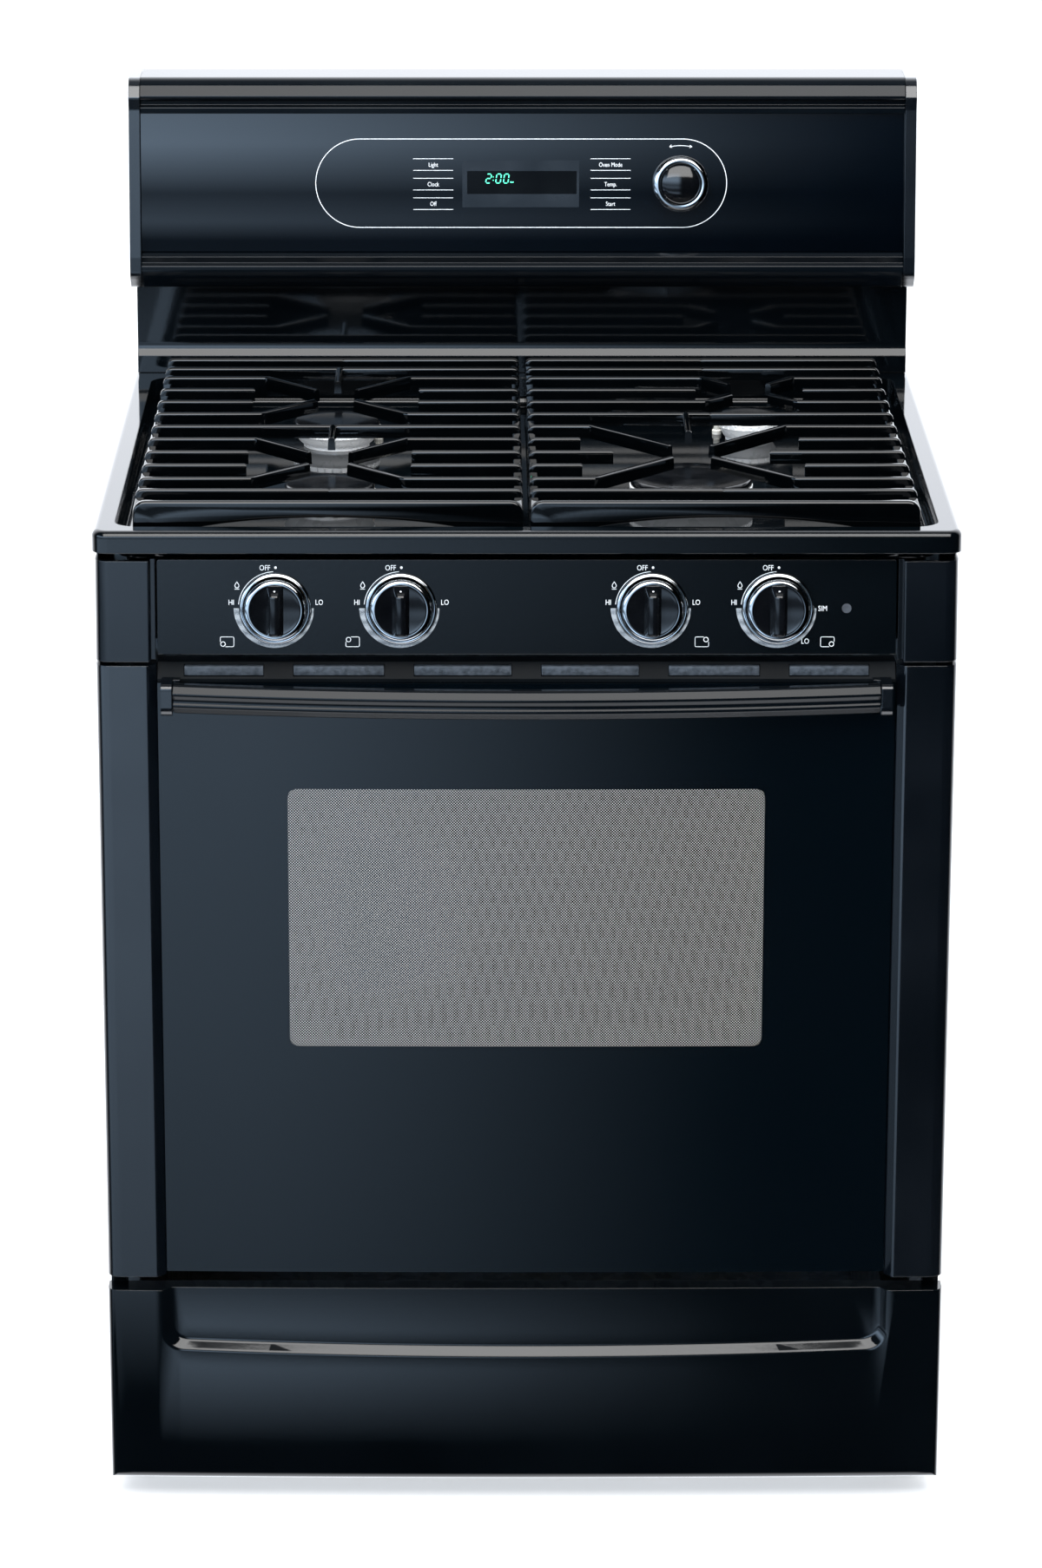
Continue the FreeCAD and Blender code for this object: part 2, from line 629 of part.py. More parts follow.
# ---- cooktop ----
def tub(x_half, y0, y1, z0, z1, r, bottom_r):
    """A block with rounded upright corners and a rounded foot."""
    shape = prism_z(rectangle(-x_half, x_half, y0, y1, r), z0, z1)
    foot = [e for e in shape.Edges if abs(e.BoundBox.ZMin - z0) < 0.01 and abs(e.BoundBox.ZMax - z0) < 0.01]
    return shape.makeFillet(bottom_r, foot)


def burners():
    """name, x, y, head radius, knob x"""
    rows = grate_rows()
    between = (rows[3] + rows[4]) / 2.0
    between_back = (rows[8] + rows[9]) / 2.0
    return [
        ("front_left", left_burner_x, between, medium_burner, -outer_knob_x),
        ("rear_left", left_burner_x, between_back, medium_burner, -inner_knob_x),
        ("rear_right", rear_right_x, rows[9], small_burner, inner_knob_x),
        ("front_right", front_right_x, rows[4], large_burner, outer_knob_x),
    ]


def grate_rows():
    """Y of the grate bars, front to back: a middle run of even pitch, with closer bars at both ends."""
    first = lip_y + bar_front
    middle = first + 2 * bar_end_pitch
    rows = [first, first + bar_end_pitch]
    rows += [middle + n * bar_pitch for n in range(bar_middle_count)]
    return rows + [rows[-1] + bar_rear_pitch, rows[-1] + 2 * bar_rear_pitch]


def make_cooktop():
    t = skin
    y1 = back_y - 3.0
    top = cooktop_height
    low = top - lip_height
    front_r, rear_r = 14.0, 4.0

    def sheet(inset, z0, z1, edge_r):
        """The rim's outline inset from the outside, its top edges rounded."""
        x = half - inset
        y = lip_y + inset
        plan = [(-x, y, front_r - inset), (x, y, front_r - inset),
                (x, y1 - inset, rear_r - inset), (-x, y1 - inset, rear_r - inset)]
        shape = prism_z(plan, z0, z1)
        upper = [e for e in shape.Edges if abs(e.BoundBox.ZMin - z1) < 0.01]
        return shape.makeFillet(edge_r, upper)

    rim = sheet(0, low, top, 6.0).cut(sheet(t, low - 1, top - t, 4.5))
    well_half = half - rail_width
    y0 = lip_y + front_ledge
    y_end = lip_y + well_back
    outer = tub(well_half + t, y0 - t, y_end + t, well_floor - t, top - 0.5, well_corner + t, 7.5)
    inner = tub(well_half, y0, y_end, well_floor, top + 5, well_corner, 6.0)
    pan = rim.fuse(outer).cut(inner)
    for burner in burners():
        x, y = burner[1:3]
        pan = pan.cut(rod((x, y, well_floor - 5), (x, y, well_floor + 5), throat + 3.0))
    keep("cooktop", pan.removeSplitter())


def make_burners():
    heads = []
    tubes = []
    igniters = []
    tube_z = well_floor - 26.0
    for name, x, y, radius, knob_x in burners():
        wall = 3.0
        foot = radius * 0.66
        profile = [
            (throat, -12.0), (throat + 2.5, -12.0), (throat + 2.5, lid_gap), (foot, lid_gap), (foot, 3.0),
            (radius, head_height - 5.0), (radius, head_height), (radius - wall, head_height),
            (radius - wall, head_height - 4.0), (foot - wall, 5.0), (throat, 5.0),
        ]
        heads.append(turned(profile, x, y, well_floor))
        cap_z = well_floor + head_height + lid_gap
        cap = turned([(0, 0), (radius - 1.5, 0), (radius - 0.5, 1.5), (radius - 1.5, cap_height - 2.0),
                      (radius - 5.0, cap_height), (0, cap_height)], x, y, cap_z)
        keep("burner_cap_" + name, cap)
        holder = rod((x, y, tube_z - 8.0), (x, y, well_floor - 13.0), throat + 6.0)
        supply_y = lip_y + 34.0
        run = rod((knob_x, supply_y, tube_z), (knob_x, y, tube_z), 5.0)
        turn = Part.makeSphere(5.0, Vector(knob_x, y, tube_z))
        cross = rod((knob_x, y, tube_z), (x, y, tube_z), 5.0)
        riser_stub = rod((knob_x, supply_y, tube_z), (knob_x, supply_y, tube_z - 5.3), 3.5)
        corner = Part.makeSphere(5.0, Vector(knob_x, supply_y, tube_z))
        tubes.append(holder.multiFuse([run, turn, cross, riser_stub, corner]))
        angle = math.radians(35.0 if x < 0 else 145.0)
        px = x + (radius + 7.0) * math.cos(angle)
        py = y + (radius + 7.0) * math.sin(angle)
        pin = [(0, 0), (4.5, 0), (4.5, 4), (3.0, 5), (3.0, 13), (1.0, 13), (1.0, 17), (0, 17)]
        igniters.append(turned(pin, px, py, well_floor))
    keep("burner_heads", heads)
    keep("burner_tubes", tubes)
    keep("spark_igniters", igniters)


def finger(x0, y0, x1, y1):
    """A straight grate bar between two points, its ends square."""
    run = Vector(x1 - x0, y1 - y0, 0)
    bar = block(0, run.Length, -bar_width / 2, bar_width / 2, grate_top - bar_height, grate_top)
    bar.rotate(Vector(0, 0, 0), Vector(0, 0, 1), math.degrees(math.atan2(run.y, run.x)))
    bar.translate(Vector(x0, y0, 0))
    return bar


def star_layout():
    """x, bent rows, their half gap, short rows, their half gap, nub row, nub length"""
    rows = grate_rows()
    return [
        (left_burner_x, (2, 5), 68.0, (3, 4), 74.0, 6, 52.0),
        (left_burner_x, (7, 10), 68.0, (8, 9), 78.0, 11, 62.0),
        (front_right_x, (2, 6), 89.0, (3, 5), 100.0, 7, 76.0),
        (rear_right_x, (8, 10), 43.0, (9,), 51.0, 11, 8.0),
    ], rows


def make_grates():
    stars, rows = star_layout()
    rail = 8.0
    for name, x0, x1, mine in (
        ("grate_left", -grate_half_width, -grate_split, stars[:2]),
        ("grate_right", grate_split, grate_half_width, stars[2:]),
    ):
        parts = []
        gaps = {}
        for x, bent, bent_gap, short, short_gap, nub, nub_length in mine:
            y = (rows[bent[0]] + rows[bent[1]]) / 2.0
            for row in bent:
                gaps[row] = (x, bent_gap)
                ahead = 1 if rows[row] > y else -1
                for side in (-1, 1):
                    parts.append(finger(x + side * bent_gap, rows[row], x + side * 19.0, y + ahead * 21.0))
            for row in short:
                gaps[row] = (x, short_gap)
            if nub_length > 0:
                parts.append(finger(x, rows[nub], x, rows[nub] - nub_length))
        if name == "grate_right":
            gaps[4] = (front_right_x, 71.0)
        for i, y in enumerate(rows):
            if i in gaps:
                x, gap = gaps[i]
                parts.append(finger(x0, y, x - gap, y))
                parts.append(finger(x + gap, y, x1, y))
            else:
                parts.append(finger(x0, y, x1, y))
        side_low = grate_top - bar_height - 14.0
        for x in (x0, x1 - rail):
            parts.append(block(x, x + rail, rows[0] - bar_width / 2, rows[-1] + bar_width / 2, side_low,
                               grate_top - bar_height + 1.0))
        parts.append(block(x0, x1, rows[0] - bar_width / 2, rows[0] + bar_width / 2, side_low, grate_top))
        for x in (x0, x1 - leg_size):
            for y in (rows[0] - bar_width / 2, rows[6] - leg_size / 2, rows[-1] + bar_width / 2 - leg_size):
                parts.append(block(x, x + leg_size, y, y + leg_size, well_floor + lid_gap, side_low + 1.0))
        keep(name, joined(parts))


# ---- controls ----
def make_controls():
    base_y = column_y + 3.0
    face_low = panel_low + 6.0
    face_length = panel_high - face_low
    sheet = prism_y(rectangle(-fascia_half, fascia_half, 0, face_length, 2.0), 0, 2.0)
    sheet = sheet.fuse(block(-fascia_half, fascia_half, 0, 24.0, 0, 1.5))
    knob_rise = panel_low + 47.0 - face_low
    knobs = [(burner[0], burner[4]) for burner in burners()]
    for name, x in knobs:
        sheet = sheet.cut(rod((x, -1, knob_rise), (x, 3, knob_rise), spindle + 2.0))
    sheet = sheet.cut(rod((lens_x, -1, knob_rise), (lens_x, 3, knob_rise), 3.5))
    keep("control_panel", tilted(sheet.removeSplitter(), 0, base_y, face_low, panel_tilt))
    lens = rod((0, -0.6, 0), (0, 0, 0), 4.2).fuse(rod((0, 0, 0), (0, 6, 0), 3.4))
    lens.translate(Vector(lens_x, 0, knob_rise))
    keep("indicator_lens", tilted(lens, 0, base_y, face_low, panel_tilt))

    plan = [
        (column_x + 0.5, 9.0, 0), (column_x + 5.0, 9.0, 0), (column_x + 5.0, 0, 1.5),
        (side_x, 0.5, corner_radius),
        (side_x, 46.0, 0), (side_x - 3.0, 46.0, 0), (side_x - 3.0, 6.0, corner_radius - 4.0),
        (column_x + 8.0, 4.0, 1.0), (column_x + 8.0, 12.0, 0), (column_x + 0.5, 12.0, 0),
    ]
    end = tilted(prism_z(plan, -10.0, panel_height + 12.0), 0, column_y - 1.0, panel_low, panel_tilt)
    end = end.common(block(0, half, lip_y - 20, frame_y - 0.3, panel_low, panel_high - 1.0))
    keep("panel_ends", pair(end))

    bezels = []
    valves = []
    manifold_y = lip_y + 62.0
    for name, x in knobs:
        def place(shape):
            shape.translate(Vector(x, 0, knob_rise))
            return tilted(shape, 0, base_y, face_low, panel_tilt)

        ring = rod((0, -bezel_height, 0), (0, 0, 0), bezel_radius)
        ring = ring.cut(rod((0, -bezel_height - 1, 0), (0, 1, 0), knob_radius + 0.6))
        outer_edge = [e for e in ring.Edges if abs(e.BoundBox.YMax + bezel_height) < 0.01
                      and e.BoundBox.ZLength > 2 * knob_radius + 3]
        bezels.append(place(ring.makeFillet(1.5, outer_edge)))

        shaft = rod((0, -22.0, 0), (0, 26.0, 0), spindle)
        shaft = shaft.cut(block(-spindle, spindle, -23.0, -6.0, spindle_flat, spindle + 1))
        keep("valve_stem_" + name, place(shaft))

        body = rod((0, 6.0, 0), (0, 34.0, 0), 13.0).fuse(rod((0, 34.0, 0), (0, 45.3, 0), 6.0))
        body = body.cut(rod((0, 5.0, 0), (0, 26.5, 0), spindle + pin_gap))
        valves.append(place(body))

        knob = rod((0, -15.0, 0), (0, -4.5, 0), knob_radius)
        rim = [e for e in knob.Edges if abs(e.BoundBox.YMax + 15.0) < 0.01]
        knob = knob.makeFillet(2.5, rim)
        grip = block(-knob_grip[0] / 2, knob_grip[0] / 2, -29.0, -14.0, -knob_grip[1] / 2, knob_grip[1] / 2)
        edges = [e for e in grip.Edges if e.BoundBox.YLength < 0.01 and e.BoundBox.YMax < -28.0]
        knob = knob.fuse(grip.makeFillet(3.0, edges))
        bore = rod((0, -22.0 - knob_travel - 1.0, 0), (0, -4.0, 0), spindle + pin_gap)
        flat = spindle_flat + pin_gap
        bore = bore.cut(block(-spindle - 1, spindle + 1, -30.0, -10.0, flat, spindle + 2))
        keep("knob_" + name, place(knob.cut(bore).removeSplitter()))
    keep("knob_bezels", bezels)
    keep("gas_valves", valves)

    axis_z = face_low + knob_rise - 3.0
    tube = rod((-outer_knob_x - 60.0, manifold_y, axis_z), (outer_knob_x + 60.0, manifold_y, axis_z), 10.0)
    drop_x = outer_knob_x + 60.0
    bend = Part.makeSphere(10.0, Vector(drop_x, manifold_y, axis_z))
    elbow_z = well_floor - 60.0
    down = rod((drop_x, manifold_y, axis_z), (drop_x, manifold_y, elbow_z), 10.0)
    keep("gas_manifold", tube.multiFuse([bend, down]))


# ---- backguard ----
def console_point(z):
    """Y of the leaning glass face at height z."""
    return console_y + (z - console_low - glass_rise) * console_run / console_rise


def make_backguard():
    top = overall_height
    glass_low = console_low + glass_rise
    glass_high = top - glass_drop
    inner_half = console_half

    riser_low = cooktop_height + fit_gap
    riser_y = back_y - riser_inset
    step_y = riser_y - riser_foot
    ledge = cooktop_height + riser_step
    riser_half = side_x - 2.0
    behind = riser_y + 2.0
    riser_top = console_low + 34.0
    profile = [
        (step_y, riser_low, 0), (step_y, ledge, 0), (riser_y, ledge + cove_lift, cove_radius),
        (riser_y, riser_top, 0), (behind, riser_top, 0), (behind, riser_low, 0),
    ]
    face = prism_x(profile, -riser_half, riser_half)
    for x in (-riser_half, inner_half - fit_gap):
        face = face.cut(block(x - 1, x + riser_half - inner_half + 2, step_y, back_y, console_low - 0.5,
                              console_low + 40.0))
    side = block(riser_half - skin, riser_half, riser_y + 1.0, back_y - 2.0, riser_low, console_low - 0.5)
    keep("riser", joined([face] + pair(side)))

    bottom = [
        (riser_y - fit_gap, console_low, 0), (console_y + 7.0, console_low, 10.0),
        (console_y - 7.0, console_low + 15.0, 12.0), (console_y - 6.5, console_low + 24.0, 2.0),
        (console_y - 2.0, console_low + 26.0, 1.0), (console_y - 3.0, console_low + 32.0, 1.0),
        (console_y + 2.0, glass_low - 0.3, 0), (riser_y - fit_gap, glass_low - 0.3, 0),
    ]
    lower = prism_x(bottom, -inner_half, inner_half)
    hollow = block(-inner_half - 1, inner_half + 1, console_y + 10.0, riser_y + 1, console_low + 4.0,
                   glass_low + 1)
    upper_y = console_point(glass_high)
    crown = [
        (upper_y - 3.0, glass_high + 0.3, 0), (upper_y - 3.0, glass_high + 6.0, 1.5),
        (upper_y + 1.5, glass_high + 7.5, 1.0), (upper_y + 1.5, glass_high + 11.5, 1.0),
        (upper_y - 6.0, glass_high + 13.5, 4.0), (upper_y + 2.0, top, 14.0), (back_y - 2.0, top, 2.0),
        (back_y - 2.0, top - 4.0, 0), (upper_y + 18.0, top - 4.0, 0), (upper_y + 14.0, glass_high + 0.3, 0),
    ]
    upper = prism_x(crown, -inner_half, inner_half)
    keep("console_trims", lower.cut(hollow), upper)

    lower_y = console_point(glass_low)
    pane = prism_x([(lower_y, glass_low, 0), (upper_y, glass_high, 0), (upper_y + glass, glass_high, 0),
                    (lower_y + glass, glass_low, 0)], -inner_half, inner_half)
    lean = math.degrees(math.atan2(console_run, console_rise))
    dial_y = console_point(dial_z)
    shaft_hole = rod((0, -5, 0), (0, 12, 0), 5.0)
    pane = pane.cut(tilted(shaft_hole, dial_x, dial_y, dial_z, lean))
    keep("console_glass", pane)

    dial = rod((0, -16.0, 0), (0, -0.8, 0), dial_radius)
    rim = [e for e in dial.Edges if abs(e.BoundBox.YMax + 16.0) < 0.01]
    dial = dial.makeFillet(4.0, rim)
    dial = dial.fuse(rod((0, -1, 0), (0, 18, 0), spindle))
    keep("dial", tilted(dial.removeSplitter(), dial_x, dial_y, dial_z, lean))

    board = block(-72.0, 72.0, 0, 16.0, -34.0, 34.0)
    board = tilted(board, 0, dial_y + glass + 1.0, dial_z, lean)
    encoder = rod((0, glass + 1.5, 0), (0, 22.0, 0), 12.0)
    encoder = encoder.cut(rod((0, 0, 0), (0, 18.5, 0), spindle + pin_gap))
    encoder = tilted(encoder, dial_x, dial_y, dial_z, lean)
    keep("display_module", board, encoder)

    cap_profile = [
        (back_y - 2.0, top, 3.0), (back_y - 2.0, console_low, 0), (console_y + 6.0, console_low, 12.0),
        (console_y - 9.0, console_low + 14.0, 10.0), (console_y - 8.0, console_low + 32.0, 3.0),
        (upper_y - 6.0, glass_high + 4.0, 3.0), (upper_y - 8.0, glass_high + 16.0, 5.0), (upper_y, top, 14.0),
    ]
    cap = prism_x(cap_profile, inner_half + 0.3, inner_half + end_cap)
    keep("console_end_caps", pair(cap))

    rear = block(-riser_half + 2.0, riser_half - 2.0, back_y - 1.8, back_y - 0.3, riser_low - 10.0, top - 6.0)
    vents = []
    for n in range(9):
        x = -200.0 + n * 46.0
        vents.append(block(x, x + 32.0, back_y - 3, back_y + 1, console_low - 50.0, console_low - 44.0))
        vents.append(block(x, x + 32.0, back_y - 3, back_y + 1, console_low - 34.0, console_low - 28.0))
    keep("console_rear_cover", rear.cut(vents[0].multiFuse(vents[1:])))


# ---- back of the cabinet and its connections ----
def make_back():
    y0 = cabinet_back_y
    y1 = cabinet_back_y + skin
    low_z = foot_height + 2.0
    panel = block(-side_x + 4.0, side_x - 4.0, y0, y1, low_z, cooktop_height - lip_height - 2.0)
    gas_x, gas_z = 150.0, 150.0
    cord_x, cord_z = -260.0, 150.0
    panel = panel.cut(rod((gas_x, y0 - 1, gas_z), (gas_x, y1 + 1, gas_z), 20.0))
    panel = panel.cut(rod((cord_x, y0 - 1, cord_z), (cord_x, y1 + 1, cord_z), 9.0))
    slots = []
    for row in range(3):
        for n in range(10):
            x = -230.0 + n * 48.0
            z = 640.0 + row * 18.0
            slots.append(block(x, x + 30.0, y0 - 1, y1 + 1, z, z + 6.0))
    keep("rear_panel", panel.cut(slots[0].multiFuse(slots[1:])))

    neck = 10.6
    inlet = rod((gas_x, back_y - 26.0, gas_z), (gas_x, back_y, gas_z), neck)
    inlet = inlet.fuse(block(gas_x - 24.0, gas_x + 24.0, back_y - 66.0, back_y - 26.0, gas_z - 20.0,
                             gas_z + 20.0))
    inlet = inlet.fuse(rod((gas_x, back_y - 46.0, gas_z + 20.0), (gas_x, back_y - 46.0, gas_z + 34.0), 16.0))
    inlet = inlet.cut(rod((gas_x, back_y - 20.0, gas_z), (gas_x, back_y + 1, gas_z), 7.5))
    keep("gas_inlet", inlet.removeSplitter())

    profile = [(4.6, 0), (8.7, 0), (8.7, 5.0), (12.0, 5.0), (12.0, 7.0), (8.0, 13.0), (4.6, 13.0)]
    gland = turned(profile, 0, 0, 0)
    gland.rotate(Vector(0, 0, 0), Vector(1, 0, 0), 90)
    gland.rotate(Vector(0, 0, 0), Vector(0, 0, 1), 180)
    gland.translate(Vector(cord_x, y1 - 5.0, cord_z))
    keep("cord_gland", gland)

    screws = []
    for x in (-side_x + 12.0, 0.0, side_x - 12.0):
        for z in (low_z + 10.0, 420.0, cooktop_height - lip_height - 14.0):
            if x or z != 420.0:
                screws.append(rod((x, y1, z), (x, y1 + 2.4, z), 4.0))
    keep("rear_screws", screws)


make_cabinet()
make_oven()
make_door()
make_handle()
make_drawer()
make_cooktop()
make_burners()
make_grates()
make_controls()
make_backguard()
make_back()

os.makedirs("parts", exist_ok=True)
for name, solids in nodes.items():
    shape = solids[0] if len(solids) == 1 else Part.makeCompound(solids)
    if not shape.isValid():
        print("not valid:", name)
    shape.exportStep("parts/" + name + ".step")
    print(name, len(solids))
print(len(nodes), "nodes")
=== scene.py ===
"""Looks of a freestanding gas range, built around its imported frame.

Metres, +Z up, the front towards -Y, the origin on the floor. Sizes below are in millimetres and
are turned to metres where a shape is placed.
"""
import bmesh
import bpy
import json
import math
from mathutils import Matrix, Vector


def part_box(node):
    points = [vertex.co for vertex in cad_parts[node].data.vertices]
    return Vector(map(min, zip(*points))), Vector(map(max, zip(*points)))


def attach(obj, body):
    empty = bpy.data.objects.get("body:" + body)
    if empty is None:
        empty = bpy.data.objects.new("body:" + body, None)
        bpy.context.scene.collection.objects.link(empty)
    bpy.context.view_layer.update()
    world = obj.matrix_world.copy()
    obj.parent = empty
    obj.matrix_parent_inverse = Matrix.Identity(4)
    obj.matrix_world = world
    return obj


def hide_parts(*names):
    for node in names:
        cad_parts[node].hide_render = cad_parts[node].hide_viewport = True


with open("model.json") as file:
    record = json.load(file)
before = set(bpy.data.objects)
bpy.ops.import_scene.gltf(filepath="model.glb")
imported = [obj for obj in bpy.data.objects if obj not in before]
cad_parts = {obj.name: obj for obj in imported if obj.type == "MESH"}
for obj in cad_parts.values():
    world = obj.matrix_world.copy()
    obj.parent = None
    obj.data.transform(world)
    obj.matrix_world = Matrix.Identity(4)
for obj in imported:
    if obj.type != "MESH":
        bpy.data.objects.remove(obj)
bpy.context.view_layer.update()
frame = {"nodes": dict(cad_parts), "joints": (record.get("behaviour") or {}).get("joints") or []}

MM = 0.001
scene = bpy.context.scene
joints = {j["name"]: j for j in frame["joints"]}

# ---- sizes, in millimetres ----
print_lift = 0.12           # legends stand this far off the sheet that they are printed on
print_thick = 0.04
burner_names = ("front_left", "rear_left", "rear_right", "front_right")
bar_width = 7.0
bar_height = 12.0
bar_end_pitch = 44.0
bar_pitch = 52.0
rear_pitch = 40.9
bar_middle_count = 9
rail_drop = 26.0            # grate's side rails reach this far under its top
leg_size = 12.0
head_height = 18.2          # burner head, well floor to the cap
throat = 11.0
port_pitch = 7.5
knob_bezel = (27.7, 31.3)   # inside and outside radius
knob_ring = (22.5, 27.0)
dial_ring = (19.6, 27.0)
recess_depth = 9.0
recess_slope = 7.0
front_bow = 5.0
vent_gap = 26.0             # between the slots of the door's top trim
vent_lengths = (86.0, 80.0, 70.0)
well_half = 361.0
well_back = 305.6
well_floor = 886.2
cove_radius = 9.0


# ---- camera, stage and light ----
def make_camera():
    camera = bpy.data.objects.new("camera", bpy.data.cameras.new("camera"))
    camera.location = (-0.040, -5.106, 2.103)
    camera.rotation_euler = (math.radians(73.5), 0, 0)
    camera.data.sensor_width = 36.0
    camera.data.lens = 129.9
    camera.data.shift_x = 0.0255
    camera.data.clip_end = 100
    scene.collection.objects.link(camera)
    scene.camera = camera


def linear(code):
    """sRGB hex colour to linear RGBA."""
    parts = [int(code[i:i + 2], 16) / 255 for i in (1, 3, 5)]
    return [p / 12.92 if p <= 0.04045 else ((p + 0.055) / 1.055) ** 2.4 for p in parts] + [1.0]


def add(tree, kind, inputs=None, **settings):
    """Add a node: its own settings, then its inputs, each a value or another node's output."""
    made = tree.nodes.new(kind)
    for name, value in settings.items():
        setattr(made, name, value)
    for socket, value in (inputs or {}).items():
        if isinstance(value, bpy.types.NodeSocket):
            tree.links.new(value, made.inputs[socket])
        else:
            made.inputs[socket].default_value = value
    return made


def softbox(name, place, aim, width, height, power):
    """A rectangular diffused lamp that is felt in reflections and never seen itself."""
    lamp = bpy.data.lights.new(name, "AREA")
    lamp.shape = "RECTANGLE"
    lamp.size, lamp.size_y, lamp.energy = width, height, power
    box = bpy.data.objects.new(name, lamp)
    box.location = place
    box.rotation_euler = (Vector(aim) - Vector(place)).to_track_quat("-Z", "Y").to_euler()
    box.visible_camera = False
    scene.collection.objects.link(box)
    return box


def make_studio():
    """White room: bright behind and above; a pale card stands front left, and the front right is dark."""
    world = bpy.data.worlds.new("studio")
    world.use_nodes = True
    scene.world = world
    tree = world.node_tree
    tree.nodes.clear()
    way = add(tree, "ShaderNodeSeparateXYZ", {0: add(tree, "ShaderNodeTexCoord").outputs["Generated"]})

    def step(axis, near, far, amount):
        return add(tree, "ShaderNodeMapRange", {
            "Value": way.outputs[axis], "From Min": near, "From Max": far, "To Min": 0.0, "To Max": amount,
        }, interpolation_type="SMOOTHSTEP").outputs[0]

    height = add(tree, "ShaderNodeMapRange", {"Value": way.outputs["Z"], "From Min": -1.0, "From Max": 1.0})
    ramp = add(tree, "ShaderNodeValToRGB", {0: height.outputs[0]})
    stops = ramp.color_ramp.elements
    for at, amount in ((-0.46, 0.0), (-0.24, 0.40), (-0.19, 0.05), (-0.12, 0.04), (-0.06, 0.34), (0.03, 0.16),
                       (0.19, 1.0), (0.28, 0.9), (0.45, 0.02)):
        made = stops.new((at + 1) / 2)
        made.color = (amount, amount, amount, 1)
    stops[0].color = stops[-1].color = (0, 0, 0, 1)
    card = ramp.outputs[0]
    for level in (step("X", 0.085, -0.10, 4.6), step("Y", 0.0, -0.3, 1.0)):
        card = add(tree, "ShaderNodeMath", {0: card, 1: level}, operation="MULTIPLY").outputs[0]
    wall = 0.0
    for level in (step("Y", 0.10, 0.75, 2.6), step("Z", 0.85, 0.98, 0.3), step("Z", -0.75, -0.95, 2.5)):
        wall = add(tree, "ShaderNodeMath", {0: wall, 1: level}, operation="ADD").outputs[0]
    blue = add(tree, "ShaderNodeBackground", {"Color": linear("#c6e2ff"), "Strength": card})
    white = add(tree, "ShaderNodeBackground", {"Color": linear("#f4f8ff"), "Strength": wall})
    room = add(tree, "ShaderNodeAddShader", {0: blue.outputs[0], 1: white.outputs[0]})
    backdrop = add(tree, "ShaderNodeBackground", {"Color": (1, 1, 1, 1), "Strength": 1.0})
    seen = add(tree, "ShaderNodeMixShader", {
        0: add(tree, "ShaderNodeLightPath").outputs["Is Camera Ray"],
        1: room.outputs[0], 2: backdrop.outputs[0],
    })
    add(tree, "ShaderNodeOutputWorld", {0: seen.outputs[0]})
    softbox("above_front", (0, -2.05, 2.94), (0, 0.33, 0.94), 3.4, 2.1, 125)
    softbox("overhead", (0, 0.2, 3.4), (0, 0.2, 0.9), 3.0, 3.0, 60).visible_glossy = False
    softbox("hob_light", (0, -0.1, 2.3), (0, 0.05, 0.9), 0.7, 0.5, 26).visible_glossy = False
    softbox("front_fill", (-1.4, -4.2, 2.6), (0, 0, 0.7), 1.6, 1.6, 20).visible_glossy = False

    floor_shape = bmesh.new()
    bmesh.ops.create_grid(floor_shape, x_segments=1, y_segments=1, size=40)
    mesh = bpy.data.meshes.new("floor")
    floor_shape.to_mesh(mesh)
    floor_shape.free()
    floor = bpy.data.objects.new("floor", mesh)
    floor.visible_glossy = False
    scene.collection.objects.link(floor)
    paper = bpy.data.materials.new("matt_white_paper")
    paper.use_nodes = True
    sheet = paper.node_tree.nodes["Principled BSDF"].inputs
    sheet["Base Color"].default_value = linear("#fafafa")
    sheet["Roughness"].default_value = 0.9
    sheet["Emission Color"].default_value = linear("#ffffff")
    sheet["Emission Strength"].default_value = 0.45
    mesh.materials.append(paper)


# ---- materials ----
def per_mm(size):
    """Pattern scale for a feature of that many millimetres, on coordinates in metres."""
    return 1.0 / (size * MM)


def material(name, pattern, **shader):
    """A Principled surface with constant settings; pattern adds what varies over it."""
    made = bpy.data.materials.new(name)
    made.use_nodes = True
    tree = made.node_tree
    tree.nodes.clear()
    surface = add(tree, "ShaderNodeBsdfPrincipled", {k.replace("_", " "): v for k, v in shader.items()})
    add(tree, "ShaderNodeOutputMaterial", {"Surface": surface.outputs[0]})
    pattern(tree, surface, add(tree, "ShaderNodeTexCoord").outputs["Object"])
    return made


def between(tree, factor, low, high):
    """A number that runs from low to high as factor goes from 0.3 to 0.7."""
    return add(tree, "ShaderNodeMapRange", {
        "Value": factor, "From Min": 0.3, "From Max": 0.7, "To Min": low, "To Max": high,
    }).outputs[0]


def relief(tree, surface, height, depth, strength=1.0):
    """Raise a surface by depth mm where height is one; gives the node back, for a normal to build on."""
    bump = add(tree, "ShaderNodeBump", {"Strength": strength, "Distance": depth * MM, "Height": height})
    tree.links.new(bump.outputs[0], surface.inputs["Normal"])
    return bump


def softened(tree, edge):
    """A normal whose sharp edges are rounded to a radius of edge mm, as sheet and mouldings are."""
    return add(tree, "ShaderNodeBevel", {"Radius": edge * MM}, samples=4).outputs[0]


